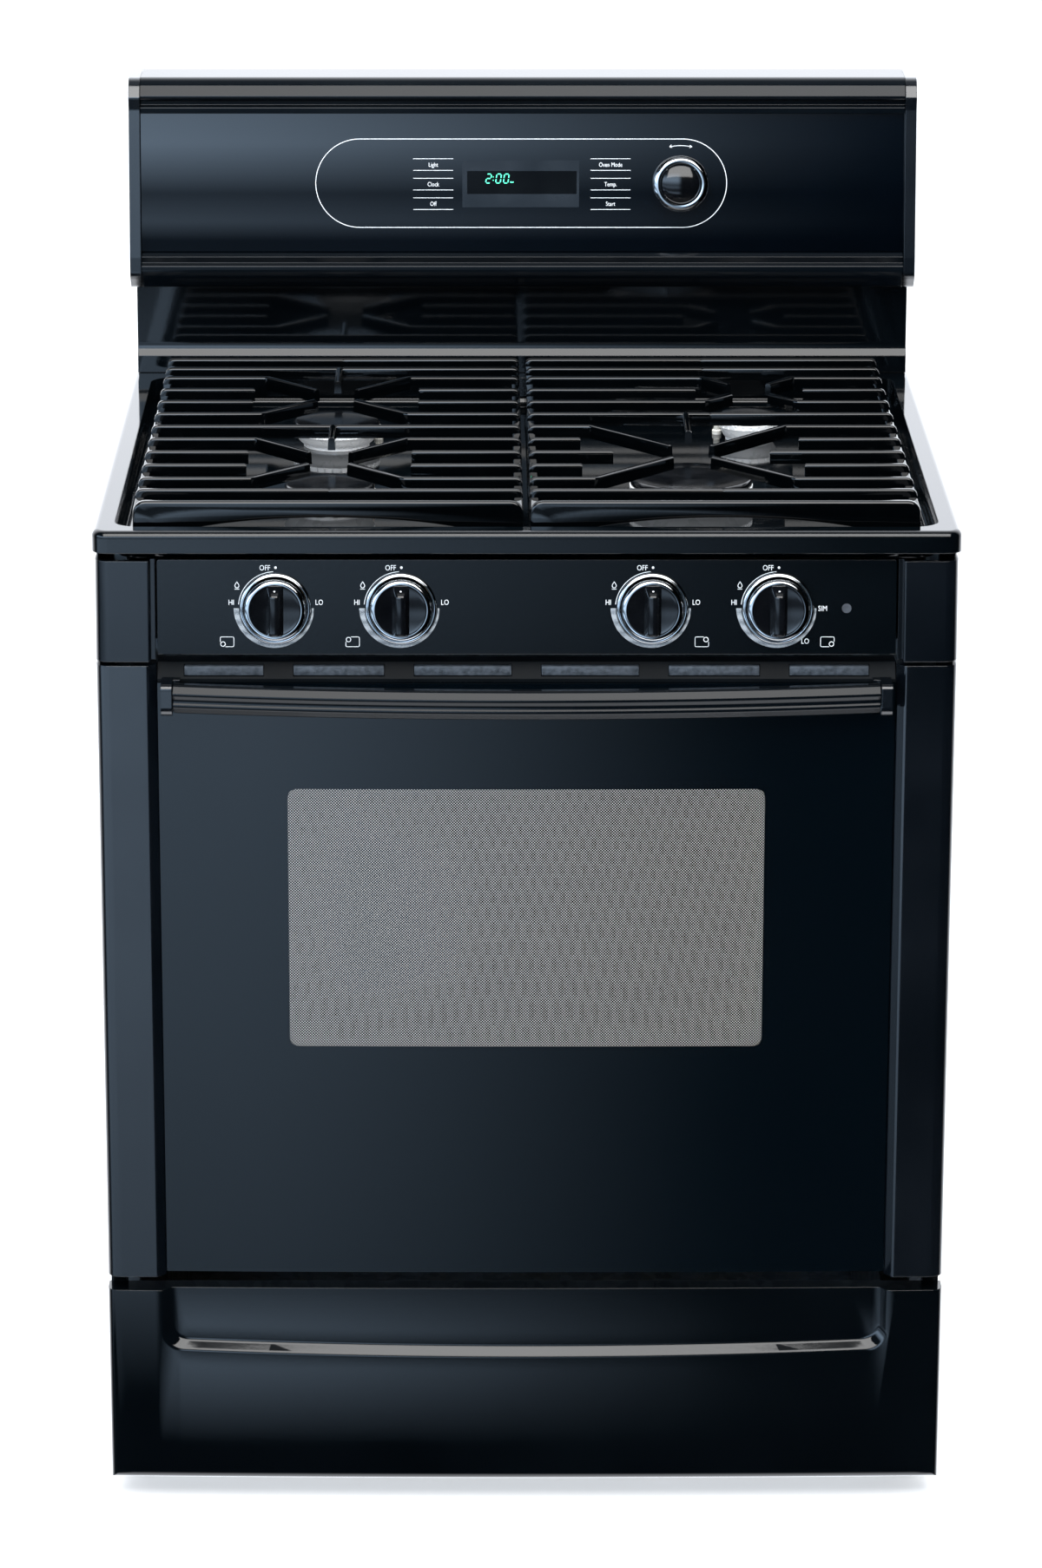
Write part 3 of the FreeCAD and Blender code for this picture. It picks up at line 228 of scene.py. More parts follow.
def cloudy(dark, pale, cloud, rough, grain, depth, detail=2.0, edge=0.0, crown=None):
    """Colour and gloss that drift over cloud mm, with a relief of grain mm across and depth mm high.

    edge rounds the edges; crown, a height and a radius in mm, swells the face about that height.
    """
    def pattern(tree, surface, at):
        drift = add(tree, "ShaderNodeTexNoise", {"Vector": at, "Scale": per_mm(cloud), "Detail": 3.0})
        tint = add(tree, "ShaderNodeMix", {
            0: between(tree, drift.outputs[0], 0.0, 1.0), 6: linear(dark), 7: linear(pale),
        }, data_type="RGBA")
        tree.links.new(tint.outputs[2], surface.inputs["Base Color"])
        tree.links.new(between(tree, drift.outputs[0], rough[0], rough[1]), surface.inputs["Roughness"])
        grains = add(tree, "ShaderNodeTexNoise", {"Vector": at, "Scale": per_mm(grain), "Detail": detail})
        bump = relief(tree, surface, grains.outputs[0], depth)
        if edge:
            tree.links.new(softened(tree, edge), bump.inputs["Normal"])
        if crown:
            tree.links.new(swollen(tree, at, *crown), bump.inputs["Normal"])
    return pattern


def swollen(tree, at, middle, radius):
    """The normal of a face that swells gently about a height, both in mm."""
    off = add(tree, "ShaderNodeSeparateXYZ", {0: at})
    off = add(tree, "ShaderNodeMath", {0: off.outputs["Z"], 1: middle * MM}, operation="SUBTRACT")
    fall = add(tree, "ShaderNodeMath", {0: off.outputs[0], 1: 2.0}, operation="POWER")
    fall = add(tree, "ShaderNodeMath", {0: fall.outputs[0], 1: -0.5 / (radius * MM)}, operation="MULTIPLY")
    swell = add(tree, "ShaderNodeBump", {"Strength": 1.0, "Distance": 1.0, "Height": fall.outputs[0]})
    return swell.outputs[0]


def brushed(dark, pale, rough, stretch, grain, depth):
    """Fine scratches drawn out by stretch along one axis."""
    def pattern(tree, surface, at):
        lie = add(tree, "ShaderNodeMapping", {"Vector": at, "Scale": stretch})
        lines = add(tree, "ShaderNodeTexNoise", {
            "Vector": lie.outputs[0], "Scale": per_mm(grain), "Detail": 4.0,
        })
        tint = add(tree, "ShaderNodeMix", {
            0: between(tree, lines.outputs[0], 0.0, 1.0), 6: linear(dark), 7: linear(pale),
        }, data_type="RGBA")
        tree.links.new(tint.outputs[2], surface.inputs["Base Color"])
        tree.links.new(between(tree, lines.outputs[0], rough[0], rough[1]), surface.inputs["Roughness"])
        relief(tree, surface, lines.outputs[0], depth)
    return pattern


def spangled(tree, surface, at):
    """Zinc crystals, about 9 mm across, each with its own grey."""
    crystals = add(tree, "ShaderNodeTexVoronoi", {"Vector": at, "Scale": per_mm(9.0)})
    shade = add(tree, "ShaderNodeSeparateColor", {0: crystals.outputs["Color"]})
    tint = add(tree, "ShaderNodeMix", {0: shade.outputs[0], 6: linear("#8f959a"), 7: linear("#b3b8bc")},
               data_type="RGBA")
    tree.links.new(tint.outputs[2], surface.inputs["Base Color"])
    tree.links.new(between(tree, shade.outputs[1], 0.32, 0.48), surface.inputs["Roughness"])
    relief(tree, surface, crystals.outputs[0], 0.02, 0.4)


def speckled(tree, surface, at):
    """Grey ground coat with fired white flecks about 1.5 mm across."""
    flecks = add(tree, "ShaderNodeTexNoise", {"Vector": at, "Scale": per_mm(1.5), "Detail": 1.0})
    share = add(tree, "ShaderNodeMapRange", {"Value": flecks.outputs[0], "From Min": 0.66, "From Max": 0.70})
    tint = add(tree, "ShaderNodeMix", {0: share.outputs[0], 6: linear("#24272c"), 7: linear("#8d9298")},
               data_type="RGBA")
    tree.links.new(tint.outputs[2], surface.inputs["Base Color"])
    tree.links.new(between(tree, flecks.outputs[0], 0.18, 0.30), surface.inputs["Roughness"])
    relief(tree, surface, flecks.outputs[0], 0.03, 0.6)


window_half = 211.0
window_low = 439.0
window_high = 679.0
window_corner = 8.0
dot_period = 2.5            # rows of dots repeat, each row set half a period off the next


def frit_window(tree, surface, at):
    """Black glass with a window of pale ceramic dots, fired on in staggered rows."""
    axes = add(tree, "ShaderNodeSeparateXYZ", {0: at})
    wave = []
    past = []
    middle = (window_low + window_high) / 2
    for axis, centre, reach in (("X", 0.0, window_half), ("Z", middle, (window_high - window_low) / 2)):
        turn = add(tree, "ShaderNodeMath", {0: axes.outputs[axis], 1: 2 * math.pi / (dot_period * MM)},
                   operation="MULTIPLY")
        wave.append(add(tree, "ShaderNodeMath", {0: turn.outputs[0]}, operation="COSINE").outputs[0])
        off = add(tree, "ShaderNodeMath", {0: axes.outputs[axis], 1: centre * MM}, operation="SUBTRACT")
        off = add(tree, "ShaderNodeMath", {0: off.outputs[0]}, operation="ABSOLUTE")
        off = add(tree, "ShaderNodeMath", {0: off.outputs[0], 1: (reach - window_corner) * MM},
                  operation="SUBTRACT")
        past.append(add(tree, "ShaderNodeMath", {0: off.outputs[0], 1: 0.0}, operation="MAXIMUM").outputs[0])
    corner = add(tree, "ShaderNodeVectorMath", {
        0: add(tree, "ShaderNodeCombineXYZ", {0: past[0], 1: past[1]}).outputs[0],
    }, operation="LENGTH")
    inside = add(tree, "ShaderNodeMath", {0: corner.outputs["Value"], 1: window_corner * MM},
                 operation="LESS_THAN")
    dots = add(tree, "ShaderNodeMath", {0: wave[0], 1: wave[1]}, operation="MULTIPLY")
    dots = add(tree, "ShaderNodeMapRange", {"Value": dots.outputs[0], "From Min": 0.12, "From Max": 0.40})
    share = add(tree, "ShaderNodeMath", {0: dots.outputs[0], 1: inside.outputs[0]}, operation="MULTIPLY")
    tint = add(tree, "ShaderNodeMix", {0: share.outputs[0], 6: linear("#02060a"), 7: linear("#9b9996")},
               data_type="RGBA")
    tree.links.new(tint.outputs[2], surface.inputs["Base Color"])
    smear = add(tree, "ShaderNodeTexNoise", {"Vector": at, "Scale": per_mm(220.0), "Detail": 3.0})
    tree.links.new(between(tree, smear.outputs[0], 0.06, 0.09), surface.inputs["Roughness"])
    ripple = add(tree, "ShaderNodeTexNoise", {"Vector": at, "Scale": per_mm(3.0), "Detail": 2.0})
    relief(tree, surface, ripple.outputs[0], 0.004)


def braided(tree, surface, at):
    """Glass yarn braid, strands about 2 mm across."""
    strands = add(tree, "ShaderNodeTexWave", {"Vector": at, "Scale": per_mm(2.0) / 6, "Distortion": 3.0},
                  bands_direction="DIAGONAL")
    tint = add(tree, "ShaderNodeMix", {0: strands.outputs[1], 6: linear("#8b8679"), 7: linear("#d8d4c8")},
               data_type="RGBA")
    tree.links.new(tint.outputs[2], surface.inputs["Base Color"])
    relief(tree, surface, strands.outputs[1], 0.4)


def woolly(tree, surface, at):
    """Matted glass wool."""
    tufts = add(tree, "ShaderNodeTexNoise", {"Vector": at, "Scale": per_mm(6.0), "Detail": 6.0})
    tint = add(tree, "ShaderNodeMix", {0: tufts.outputs[0], 6: linear("#b9ad7a"), 7: linear("#f0e8c2")},
               data_type="RGBA")
    tree.links.new(tint.outputs[2], surface.inputs["Base Color"])
    relief(tree, surface, tufts.outputs[0], 1.5)


def printed_board(tree, surface, at):
    """Green solder mask with pale tracks, 2.5 mm apart."""
    tracks = add(tree, "ShaderNodeTexBrick", {
        "Vector": at, "Scale": per_mm(2.5) / 4, "Color1": linear("#0f4a2c"), "Color2": linear("#0c3f26"),
        "Mortar": linear("#2c7a4d"), "Mortar Size": 0.02,
    })
    tree.links.new(tracks.outputs[0], surface.inputs["Base Color"])


def halftone(tree, surface, at):
    """Printed dots of white ink, 0.8 mm apart, that read as grey."""
    cells = add(tree, "ShaderNodeTexVoronoi", {"Vector": at, "Scale": per_mm(0.8), "Randomness": 0.25})
    share = add(tree, "ShaderNodeMapRange", {"Value": cells.outputs[0], "From Min": 0.30, "From Max": 0.55,
                                             "To Min": 1.0, "To Max": 0.0})
    tint = add(tree, "ShaderNodeMix", {0: share.outputs[0], 6: linear("#5c646b"), 7: linear("#b4b9bd")},
               data_type="RGBA")
    tree.links.new(tint.outputs[2], surface.inputs["Base Color"])


def make_finishes():
    """Every finish by the name of the record's slot, and a few that only new pieces use."""
    made = {}
    # porcelain enamel, sprayed and fired on steel: wet black gloss with a slight orange peel
    made["black_enamel"] = material(
        "porcelain_enamel_black",
        cloudy("#020406", "#04070a", 160, (0.05, 0.08), 4.0, 0.010, edge=1.2), IOR=1.52)
    # stove enamel baked on extruded aluminium: black, with a fainter gloss than the porcelain (tuned)
    made["black_painted_aluminium"] = material(
        "baked_enamel_black", cloudy("#03060a", "#060a0e", 140, (0.10, 0.14), 2.5, 0.004, edge=0.8), IOR=1.34)
    # powder coat over the vents: fine texture that gives back almost no light
    made["vent_coat"] = material(
        "powder_coat_black", cloudy("#06090c", "#0c1013", 60, (0.42, 0.55), 0.9, 0.02, edge=0.8),
        Specular_IOR_Level=0.08)
    # ABS moulded against a polished tool: even black gloss
    made["black_gloss_plastic"] = material(
        "polished_abs_black", cloudy("#04070b", "#070b10", 120, (0.11, 0.16), 3.0, 0.004, edge=1.0), IOR=1.72)
    made["black_glass"] = material("toughened_glass_black", frit_window, IOR=1.52)
    # the console's pane is bent a little, so that light falls off down its face
    made["console_glass"] = material(
        "toughened_glass_bent",
        cloudy("#010306", "#02050a", 200, (0.03, 0.05), 30.0, 0.001, crown=(1107.0, 620.0)), IOR=1.52)
    # clear toughened glass
    made["window_glass"] = material(
        "toughened_glass_clear", cloudy("#dfe6e4", "#e8eeec", 150, (0.02, 0.05), 30.0, 0.002),
        IOR=1.52, Transmission_Weight=1.0)
    made["grey_porcelain"] = material("ground_coat_enamel_grey", speckled, IOR=1.5)
    made["galvanised_steel"] = material("hot_dip_galvanised_steel", spangled, Metallic=0.9)
    # low-carbon steel tube that has seen heat: dull brown-grey
    made["oven_burner_steel"] = material(
        "heat_tinted_steel", cloudy("#5b5148", "#8a8178", 25, (0.4, 0.6), 0.8, 0.02), Metallic=0.85)
    # nickel-chrome on drawn wire: bright with soft streaks
    made["chrome_wire"] = material(
        "chrome_plated_wire", cloudy("#b9bdc1", "#d6d9dc", 20, (0.12, 0.22), 0.9, 0.003), Metallic=1.0)
    # chromium plate on polished plastic: mirror bright
    made["chrome"] = material(
        "bright_chrome_plate", cloudy("#d5d8db", "#eceef0", 12, (0.05, 0.10), 1.2, 0.002), Metallic=1.0)
    made["brass"] = material(
        "turned_brass", brushed("#a58443", "#c9a660", (0.2, 0.35), (1, 1, 14), 1.0, 0.004), Metallic=1.0)
    made["cast_zinc"] = material(
        "die_cast_zinc", cloudy("#84888c", "#a4a8ab", 14, (0.35, 0.5), 0.7, 0.02), Metallic=0.9)
    # cast iron under fired gloss enamel: the sand's grain still shows through the black gloss
    made["cast_iron_enamel"] = material(
        "enamelled_cast_iron", cloudy("#010203", "#020304", 30, (0.03, 0.06), 3.2, 0.012, 3.0), IOR=1.6)
    made["cap_enamel"] = material(
        "enamelled_burner_cap", cloudy("#040507", "#090b0e", 25, (0.12, 0.20), 1.8, 0.012), IOR=1.52)
    # aluminium cast in a fine mould and tumbled: pale and satin; the slight emission stands in for the
    # light that bounces about in the well
    made["cast_aluminium"] = material(
        "tumbled_cast_aluminium", cloudy("#dfe2e4", "#f2f3f4", 16, (0.24, 0.34), 0.6, 0.008), Metallic=0.15,
        Emission_Color=linear("#eef2f6"), Emission_Strength=0.16)
    made["white_ceramic"] = material(
        "glazed_alumina", cloudy("#d9d7cf", "#efede6", 6, (0.12, 0.2), 0.8, 0.004), IOR=1.6)
    made["knob_plastic"] = material(
        "polished_phenolic_black", cloudy("#040507", "#090b0e", 40, (0.08, 0.13), 1.5, 0.002), IOR=1.54)
    made["glass_wool"] = material("glass_wool_blanket", woolly, Roughness=0.95)
    made["glass_braid"] = material("braided_glass_seal", braided, Roughness=0.8)
    made["lamp_glass"] = material(
        "opal_lamp_glass", cloudy("#e9e4d6", "#f6f2e8", 8, (0.1, 0.2), 1.5, 0.01), IOR=1.47)
    made["grey_lens"] = material(
        "smoked_acrylic_lens", cloudy("#35383d", "#45494f", 4, (0.1, 0.16), 0.6, 0.002), IOR=1.49)
    made["black_nylon"] = material(
        "moulded_nylon_black", cloudy("#0c0d0f", "#17181a", 20, (0.4, 0.55), 0.6, 0.02), IOR=1.53)
    made["circuit_board"] = material("solder_mask_green", printed_board, Roughness=0.35)
    # white screen ink, baked on the panel: matt against the gloss
    made["ink"] = material("screen_ink_white", cloudy("#c9cdd1", "#dfe2e4", 6, (0.4, 0.55), 0.4, 0.004))
    made["grey_ink"] = material("screen_ink_halftone", halftone, Roughness=0.5)
    # tinted acrylic behind the glass, a shade off the console's black
    made["filter"] = material(
        "tinted_acrylic_filter", cloudy("#0a1016", "#0f161d", 30, (0.2, 0.28), 2.0, 0.002), IOR=1.49)
    made["display_black"] = material(
        "vacuum_tube_glass", cloudy("#000001", "#010203", 30, (0.12, 0.16), 2.0, 0.001), IOR=1.3)
    made["segments"] = material(
        "fluorescent_segment", cloudy("#3fd8a4", "#58f0bd", 3, (0.5, 0.6), 0.5, 0.001),
        Emission_Color=linear("#5cf0c0"), Emission_Strength=0.9)
    made["baffle"] = material(
        "perforated_baffle_grey", cloudy("#2c3238", "#4b525a", 4, (0.4, 0.6), 1.6, 0.25, 6.0), IOR=1.5)
    return made


# ---- shape helpers ----
def facing(point, outward):
    """Local X to the right, Y up the face and Z out of it, at a point of the face."""
    normal = Vector(outward).normalized()
    across = Vector((1, 0, 0))
    up = normal.cross(across)
    turned = Matrix((across, up, normal)).transposed().to_4x4()
    return Matrix.Translation(Vector(point)) @ turned @ Matrix.Scale(MM, 4)


def upright(x, y, z):
    """Millimetre shapes about a vertical axis through x, y, with their foot at z, all in metres."""
    return Matrix.Translation((x, y, z)) @ Matrix.Scale(MM, 4)


def finished(shape, name, body, finish, stands_for=(), crease=35.0, heal=0.002 * MM):
    """Turn a bmesh in metres into a piece of the object."""
    bmesh.ops.remove_doubles(shape, verts=shape.verts, dist=heal)
    bmesh.ops.recalc_face_normals(shape, faces=shape.faces)
    mesh = bpy.data.meshes.new(name)
    shape.to_mesh(mesh)
    shape.free()
    mesh.shade_smooth()
    mesh.set_sharp_from_angle(angle=math.radians(crease))
    mesh.materials.append(finish)
    piece = bpy.data.objects.new(name, mesh)
    scene.collection.objects.link(piece)
    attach(piece, body)
    if stands_for:
        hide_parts(*stands_for)
    return piece


def take_in(shape, part, place):
    """Move a part into place and add it to the shape."""
    bmesh.ops.transform(part, matrix=place, verts=part.verts)
    mesh = bpy.data.meshes.new("part")
    part.to_mesh(mesh)
    part.free()
    shape.from_mesh(mesh)
    bpy.data.meshes.remove(mesh)


def arc(x, y, radius, start, end, count):
    """Points on an arc, angles in degrees, both ends included."""
    step = (end - start) / count
    turns = [math.radians(start + i * step) for i in range(count + 1)]
    return [(x + radius * math.cos(t), y + radius * math.sin(t)) for t in turns]


def turned(profile, steps=96, closed=False):
    """Spin an (r, h) profile about the local Z axis."""
    part = bmesh.new()
    verts = [part.verts.new((r, 0, h)) for r, h in profile]
    edges = [part.edges.new(pair) for pair in zip(verts, verts[1:])]
    if closed:
        edges.append(part.edges.new((verts[-1], verts[0])))
    bmesh.ops.spin(part, geom=verts + edges, cent=(0, 0, 0), axis=(0, 0, 1), dvec=(0, 0, 0),
                   angle=2 * math.pi, steps=steps, use_merge=True, use_duplicate=False)
    bmesh.ops.remove_doubles(part, verts=part.verts, dist=1e-4)
    return part


def slab(x0, x1, y0, y1, z0, z1):
    part = bmesh.new()
    bmesh.ops.create_cube(part, size=1.0)
    bmesh.ops.scale(part, vec=(x1 - x0, y1 - y0, z1 - z0), verts=part.verts)
    bmesh.ops.translate(part, vec=((x0 + x1) / 2, (y0 + y1) / 2, (z0 + z1) / 2), verts=part.verts)
    return part


def rounded(part, edges, radius, segments=4):
    bmesh.ops.bevel(part, geom=edges, offset=radius, segments=segments, profile=0.5,
                    affect="EDGES", material=-1, clamp_overlap=True)


def print_slab(part):
    """Give a flat legend its thickness of ink."""
    made = bmesh.ops.extrude_face_region(part, geom=part.faces[:])
    moved = [v for v in made["geom"] if isinstance(v, bmesh.types.BMVert)]
    bmesh.ops.translate(part, vec=(0, 0, print_thick), verts=moved)
    return part


def line(x0, y0, x1, y1, width):
    """A printed line between two points of a face."""
    run = Vector((x1 - x0, y1 - y0, 0))
    part = bmesh.new()
    bmesh.ops.create_grid(part, x_segments=1, y_segments=1, size=0.5)
    bmesh.ops.scale(part, vec=(run.length, width, 1), verts=part.verts)
    turn = Matrix.Rotation(math.atan2(run.y, run.x), 4, "Z")
    middle = Matrix.Translation(((x0 + x1) / 2, (y0 + y1) / 2, 0))
    bmesh.ops.transform(part, matrix=middle @ turn, verts=part.verts)
    return print_slab(part)


def band(inner, outer, start, end, x=0.0, y=0.0, steps=48, far=None):
    """A printed arc from start to end, in degrees; far is its outer radius at the end, if it tapers."""
    part = bmesh.new()
    first = math.radians(start)
    sweep = math.radians(end - start)
    ends = [part.verts.new((r * math.cos(first), r * math.sin(first), 0)) for r in (inner, outer)]
    edge = part.edges.new(ends)
    whole = abs(end - start) >= 360
    bmesh.ops.spin(part, geom=ends + [edge], cent=(0, 0, 0), axis=(0, 0, 1), dvec=(0, 0, 0),
                   angle=sweep, steps=steps, use_merge=whole, use_duplicate=False)
    if far is not None:
        for v in part.verts:
            if v.co.length > (inner + min(outer, far)) / 2:
                share = ((math.atan2(v.co.y, v.co.x) - first) / sweep) % (2 * math.pi / abs(sweep))
                v.co = v.co.normalized() * (outer + (far - outer) * min(share, 1.0))
    bmesh.ops.translate(part, vec=(x, y, 0), verts=part.verts)
    return print_slab(part)


def word(text, x, y, height, stretch=0.82, align="CENTER"):
    """Lettering as a thin mesh, its middle (or one end) at x, its foot at y."""
    curve = bpy.data.curves.new("word", "FONT")
    curve.body = text
    curve.size = height / 0.73
    curve.align_x = align
    curve.extrude = print_thick / 2
    curve.resolution_u = 3
    letters = bpy.data.objects.new("word", curve)
    mesh = bpy.data.meshes.new_from_object(letters)
    bpy.data.objects.remove(letters)
    part = bmesh.new()
    part.from_mesh(mesh)
    bpy.data.meshes.remove(mesh)
    bmesh.ops.scale(part, vec=(stretch, 1, 1), verts=part.verts)
    bmesh.ops.translate(part, vec=(x, y, 0), verts=part.verts)
    return part


# ---- drawer front ----
def make_drawer_front():
    """A pressed panel: its recess falls back behind a sloping edge and runs out at the top."""
    low, high = (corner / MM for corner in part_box("drawer_front"))
    half = high.x
    front = low.y + front_bow
    back = high.y
    recess_half = 328.5
    recess_low = 150.0
    sag = 6.0
    corner = 18.0
    sheet = bmesh.new()
    turn = arc(recess_half - corner, recess_low + corner, corner, 0, -90, 8)
    count = 24
    span = recess_half - corner
    under = [(span - 2 * span * i / count, recess_low - sag * (1 - (1 - 2 * i / count) ** 2))
             for i in range(1, count)]
    right = [(recess_half, high.z)] + turn
    left = [(-x, z) for x, z in reversed(right)]
    rim = [sheet.verts.new((x, front, z)) for x, z in right + under + left]
    outer = [sheet.verts.new((x, front, z)) for x, z in (
        (-half, high.z), (-half, low.z), (half, low.z), (half, high.z))]
    sheet.faces.new(rim + outer)
    chain = [sheet.edges.get(pair) for pair in zip(rim, rim[1:])]
    wall = bmesh.ops.extrude_edge_only(sheet, edges=chain)["geom"]
    inner = [v for v in wall if isinstance(v, bmesh.types.BMVert)]
    for v in inner:
        v.co.y += recess_depth
        v.co.x *= (recess_half - recess_slope) / recess_half
        drop = high.z - v.co.z
        v.co.z = high.z - drop * (high.z - recess_low + sag - recess_slope) / (high.z - recess_low + sag)
    floor_edges = [e for e in wall if isinstance(e, bmesh.types.BMEdge) and all(v in inner for v in e.verts)]
    ends = [v for v in inner if abs(v.co.z - high.z) < 1e-4]
    closing = sheet.edges.new(ends)
    bmesh.ops.contextual_create(sheet, geom=floor_edges + [closing])
    border = [e for e in sheet.edges if len(e.link_faces) == 1]
    flange = bmesh.ops.extrude_edge_only(sheet, edges=border)["geom"]
    for v in flange:
        if isinstance(v, bmesh.types.BMVert):
            v.co.y = back
    bmesh.ops.edgeloop_fill(sheet, edges=[e for e in sheet.edges if len(e.link_faces) == 1])
    bmesh.ops.recalc_face_normals(sheet, faces=sheet.faces)

    def runs(edge, where):
        return all(where(v.co) for v in edge.verts)

    corners = [e for e in sheet.edges if runs(e, lambda c: abs(abs(c.x) - half) < 0.1 and c.y < front + 0.1)]
    foot = [e for e in sheet.edges if runs(e, lambda c: abs(c.z - low.z) < 0.1 and c.y < front + 0.1)]
    rounded(sheet, list(set(corners + foot)), 9.0, 5)
    slope = [e for e in sheet.edges
             if runs(e, lambda c: c.y < front + recess_depth + 0.1 and abs(c.x) < recess_half + 1
                     and c.z < high.z + 0.1 and c.z > recess_low - sag - 2)
                     and not runs(e, lambda c: abs(c.z - high.z) < 0.1)
             and abs(e.verts[0].co.y - e.verts[1].co.y) < 0.1]
    rounded(sheet, slope, 2.0, 3)
    for step in range(-17, 18):
        bmesh.ops.bisect_plane(sheet, geom=sheet.verts[:] + sheet.edges[:] + sheet.faces[:], dist=1e-4,
                               plane_co=(step * 21.0, 0, 0), plane_no=(1, 0, 0))
    for v in sheet.verts:
        if v.co.y < back - 1.0:
            v.co.y -= front_bow * (1 - (v.co.x / half) ** 2)
    bmesh.ops.scale(sheet, vec=(MM, MM, MM), verts=sheet.verts)
    finished(sheet, "drawer_front_pressing", "drawer", finishes["black_enamel"],
             ["drawer_front"])


# ---- grates ----
def bar_between(start, bend, tip, ends_round):
    """A cast bar with a rounded top: straight from start to bend, then on to tip, all (x, y) in mm.

    Heights are measured down from the grate's top, which is at zero. ends_round rounds the start off.
    """
    half = bar_width / 2
    part = bmesh.new()
    corners = [part.verts.new((0, y, z)) for y, z in (
        (-half, -bar_height), (half, -bar_height), (half - 0.6, 0), (0.6 - half, 0))]
    part.faces.new(corners)
    bmesh.ops.bevel(part, geom=corners[2:], offset=1.9, segments=5, profile=0.5, affect="VERTICES",
                    material=-1)
    heading = 1.0 if bend[0] > start[0] else -1.0
    if heading < 0:
        bmesh.ops.rotate(part, cent=(0, 0, 0), matrix=Matrix.Rotation(math.pi, 3, "Z"), verts=part.verts)
    bmesh.ops.translate(part, vec=(start[0], start[1], 0), verts=part.verts)
    last = part.verts[:] + part.edges[:] + part.faces[:]

    def onward(dx, dy, heights=(1.0, 1.0)):
        nonlocal last
        last = bmesh.ops.spin(part, geom=last, cent=(0, 0, 0), axis=(0, 0, 1), dvec=(dx, dy, 0), angle=0.0,
                              steps=1, use_merge=False, use_duplicate=False)["geom_last"]
        verts = [g for g in last if isinstance(g, bmesh.types.BMVert)]
        for v in verts:
            v.co.z = (v.co.z + bar_height) * heights[1] / heights[0] - bar_height

    gone = 0.0
    if ends_round:
        levels = ((0.0, 0.55), (0.7, 0.74), (2.0, 0.88), (4.0, 0.97), (6.5, 1.0))
        for v in part.verts:
            v.co.z = (v.co.z + bar_height) * levels[0][1] - bar_height
        for before, after in zip(levels, levels[1:]):
            onward(heading * (after[0] - before[0]), 0, (before[1], after[1]))
        gone = levels[-1][0]
    reach = abs(bend[0] - start[0]) - gone
    if tip is None:
        onward(heading * (reach - 1.2), 0)
        onward(heading * 1.2, 0, (1.0, 0.94))
        return part
    away = Vector((tip[0] - bend[0], tip[1] - bend[1], 0))
    bend_angle = math.atan2(away.y, away.x * heading)
    turn_radius = 7.0
    setback = turn_radius * math.tan(abs(bend_angle) / 2)
    onward(heading * (reach - setback), 0)
    side = 1.0 if bend_angle > 0 else -1.0
    pivot = (bend[0] - heading * setback, bend[1] + side * turn_radius, 0)
    last = bmesh.ops.spin(part, geom=last, cent=pivot, axis=(0, 0, 1), dvec=(0, 0, 0),
                          angle=bend_angle * heading, steps=4, use_merge=False,
                          use_duplicate=False)["geom_last"]
    run = away.normalized() * (away.length - setback - 1.2)
    onward(run.x, run.y)
    nose = away.normalized() * 1.2
    onward(nose.x, nose.y, (1.0, 0.94))
    return part


def front_wall(x0, x1, y):
    """The grate's deep front bar, arched underneath between its two feet."""
    part = bmesh.new()
    foot = 16.0
    drop = rail_drop + 22.0
    arch = []
    count = 20
    for i in range(count + 1):
        share = i / count
        arch.append((x0 + foot + (x1 - x0 - 2 * foot) * share,
                     -drop + (drop - 15.0) * math.sin(math.pi * share) ** 0.35))
    rim = [(x1, 0), (x0, 0), (x0, -drop)] + arch + [(x1, -drop)]
    verts = [part.verts.new((x, y - 4.0, z)) for x, z in rim]
    part.faces.new(verts)
    bmesh.ops.bevel(part, geom=verts[:2], offset=11.0, segments=6, profile=0.5, affect="VERTICES",
                    material=-1)
    made = bmesh.ops.extrude_face_region(part, geom=part.faces[:])["geom"]
    bmesh.ops.translate(part, vec=(0, 8.0, 0), verts=[g for g in made if isinstance(g, bmesh.types.BMVert)])
    edges = [e for e in part.edges if abs(e.verts[0].co.y - e.verts[1].co.y) < 0.01]
    rounded(part, edges, 2.6, 4)
    return part


def grate_rows(first):
    """Bars from front to back: closer pairs at both ends of an even run."""
    middle = first + 2 * bar_end_pitch
    rows = [first, first + bar_end_pitch] + [middle + n * bar_pitch for n in range(bar_middle_count)]
    return rows + [rows[-1] + rear_pitch, rows[-1] + 2 * rear_pitch]


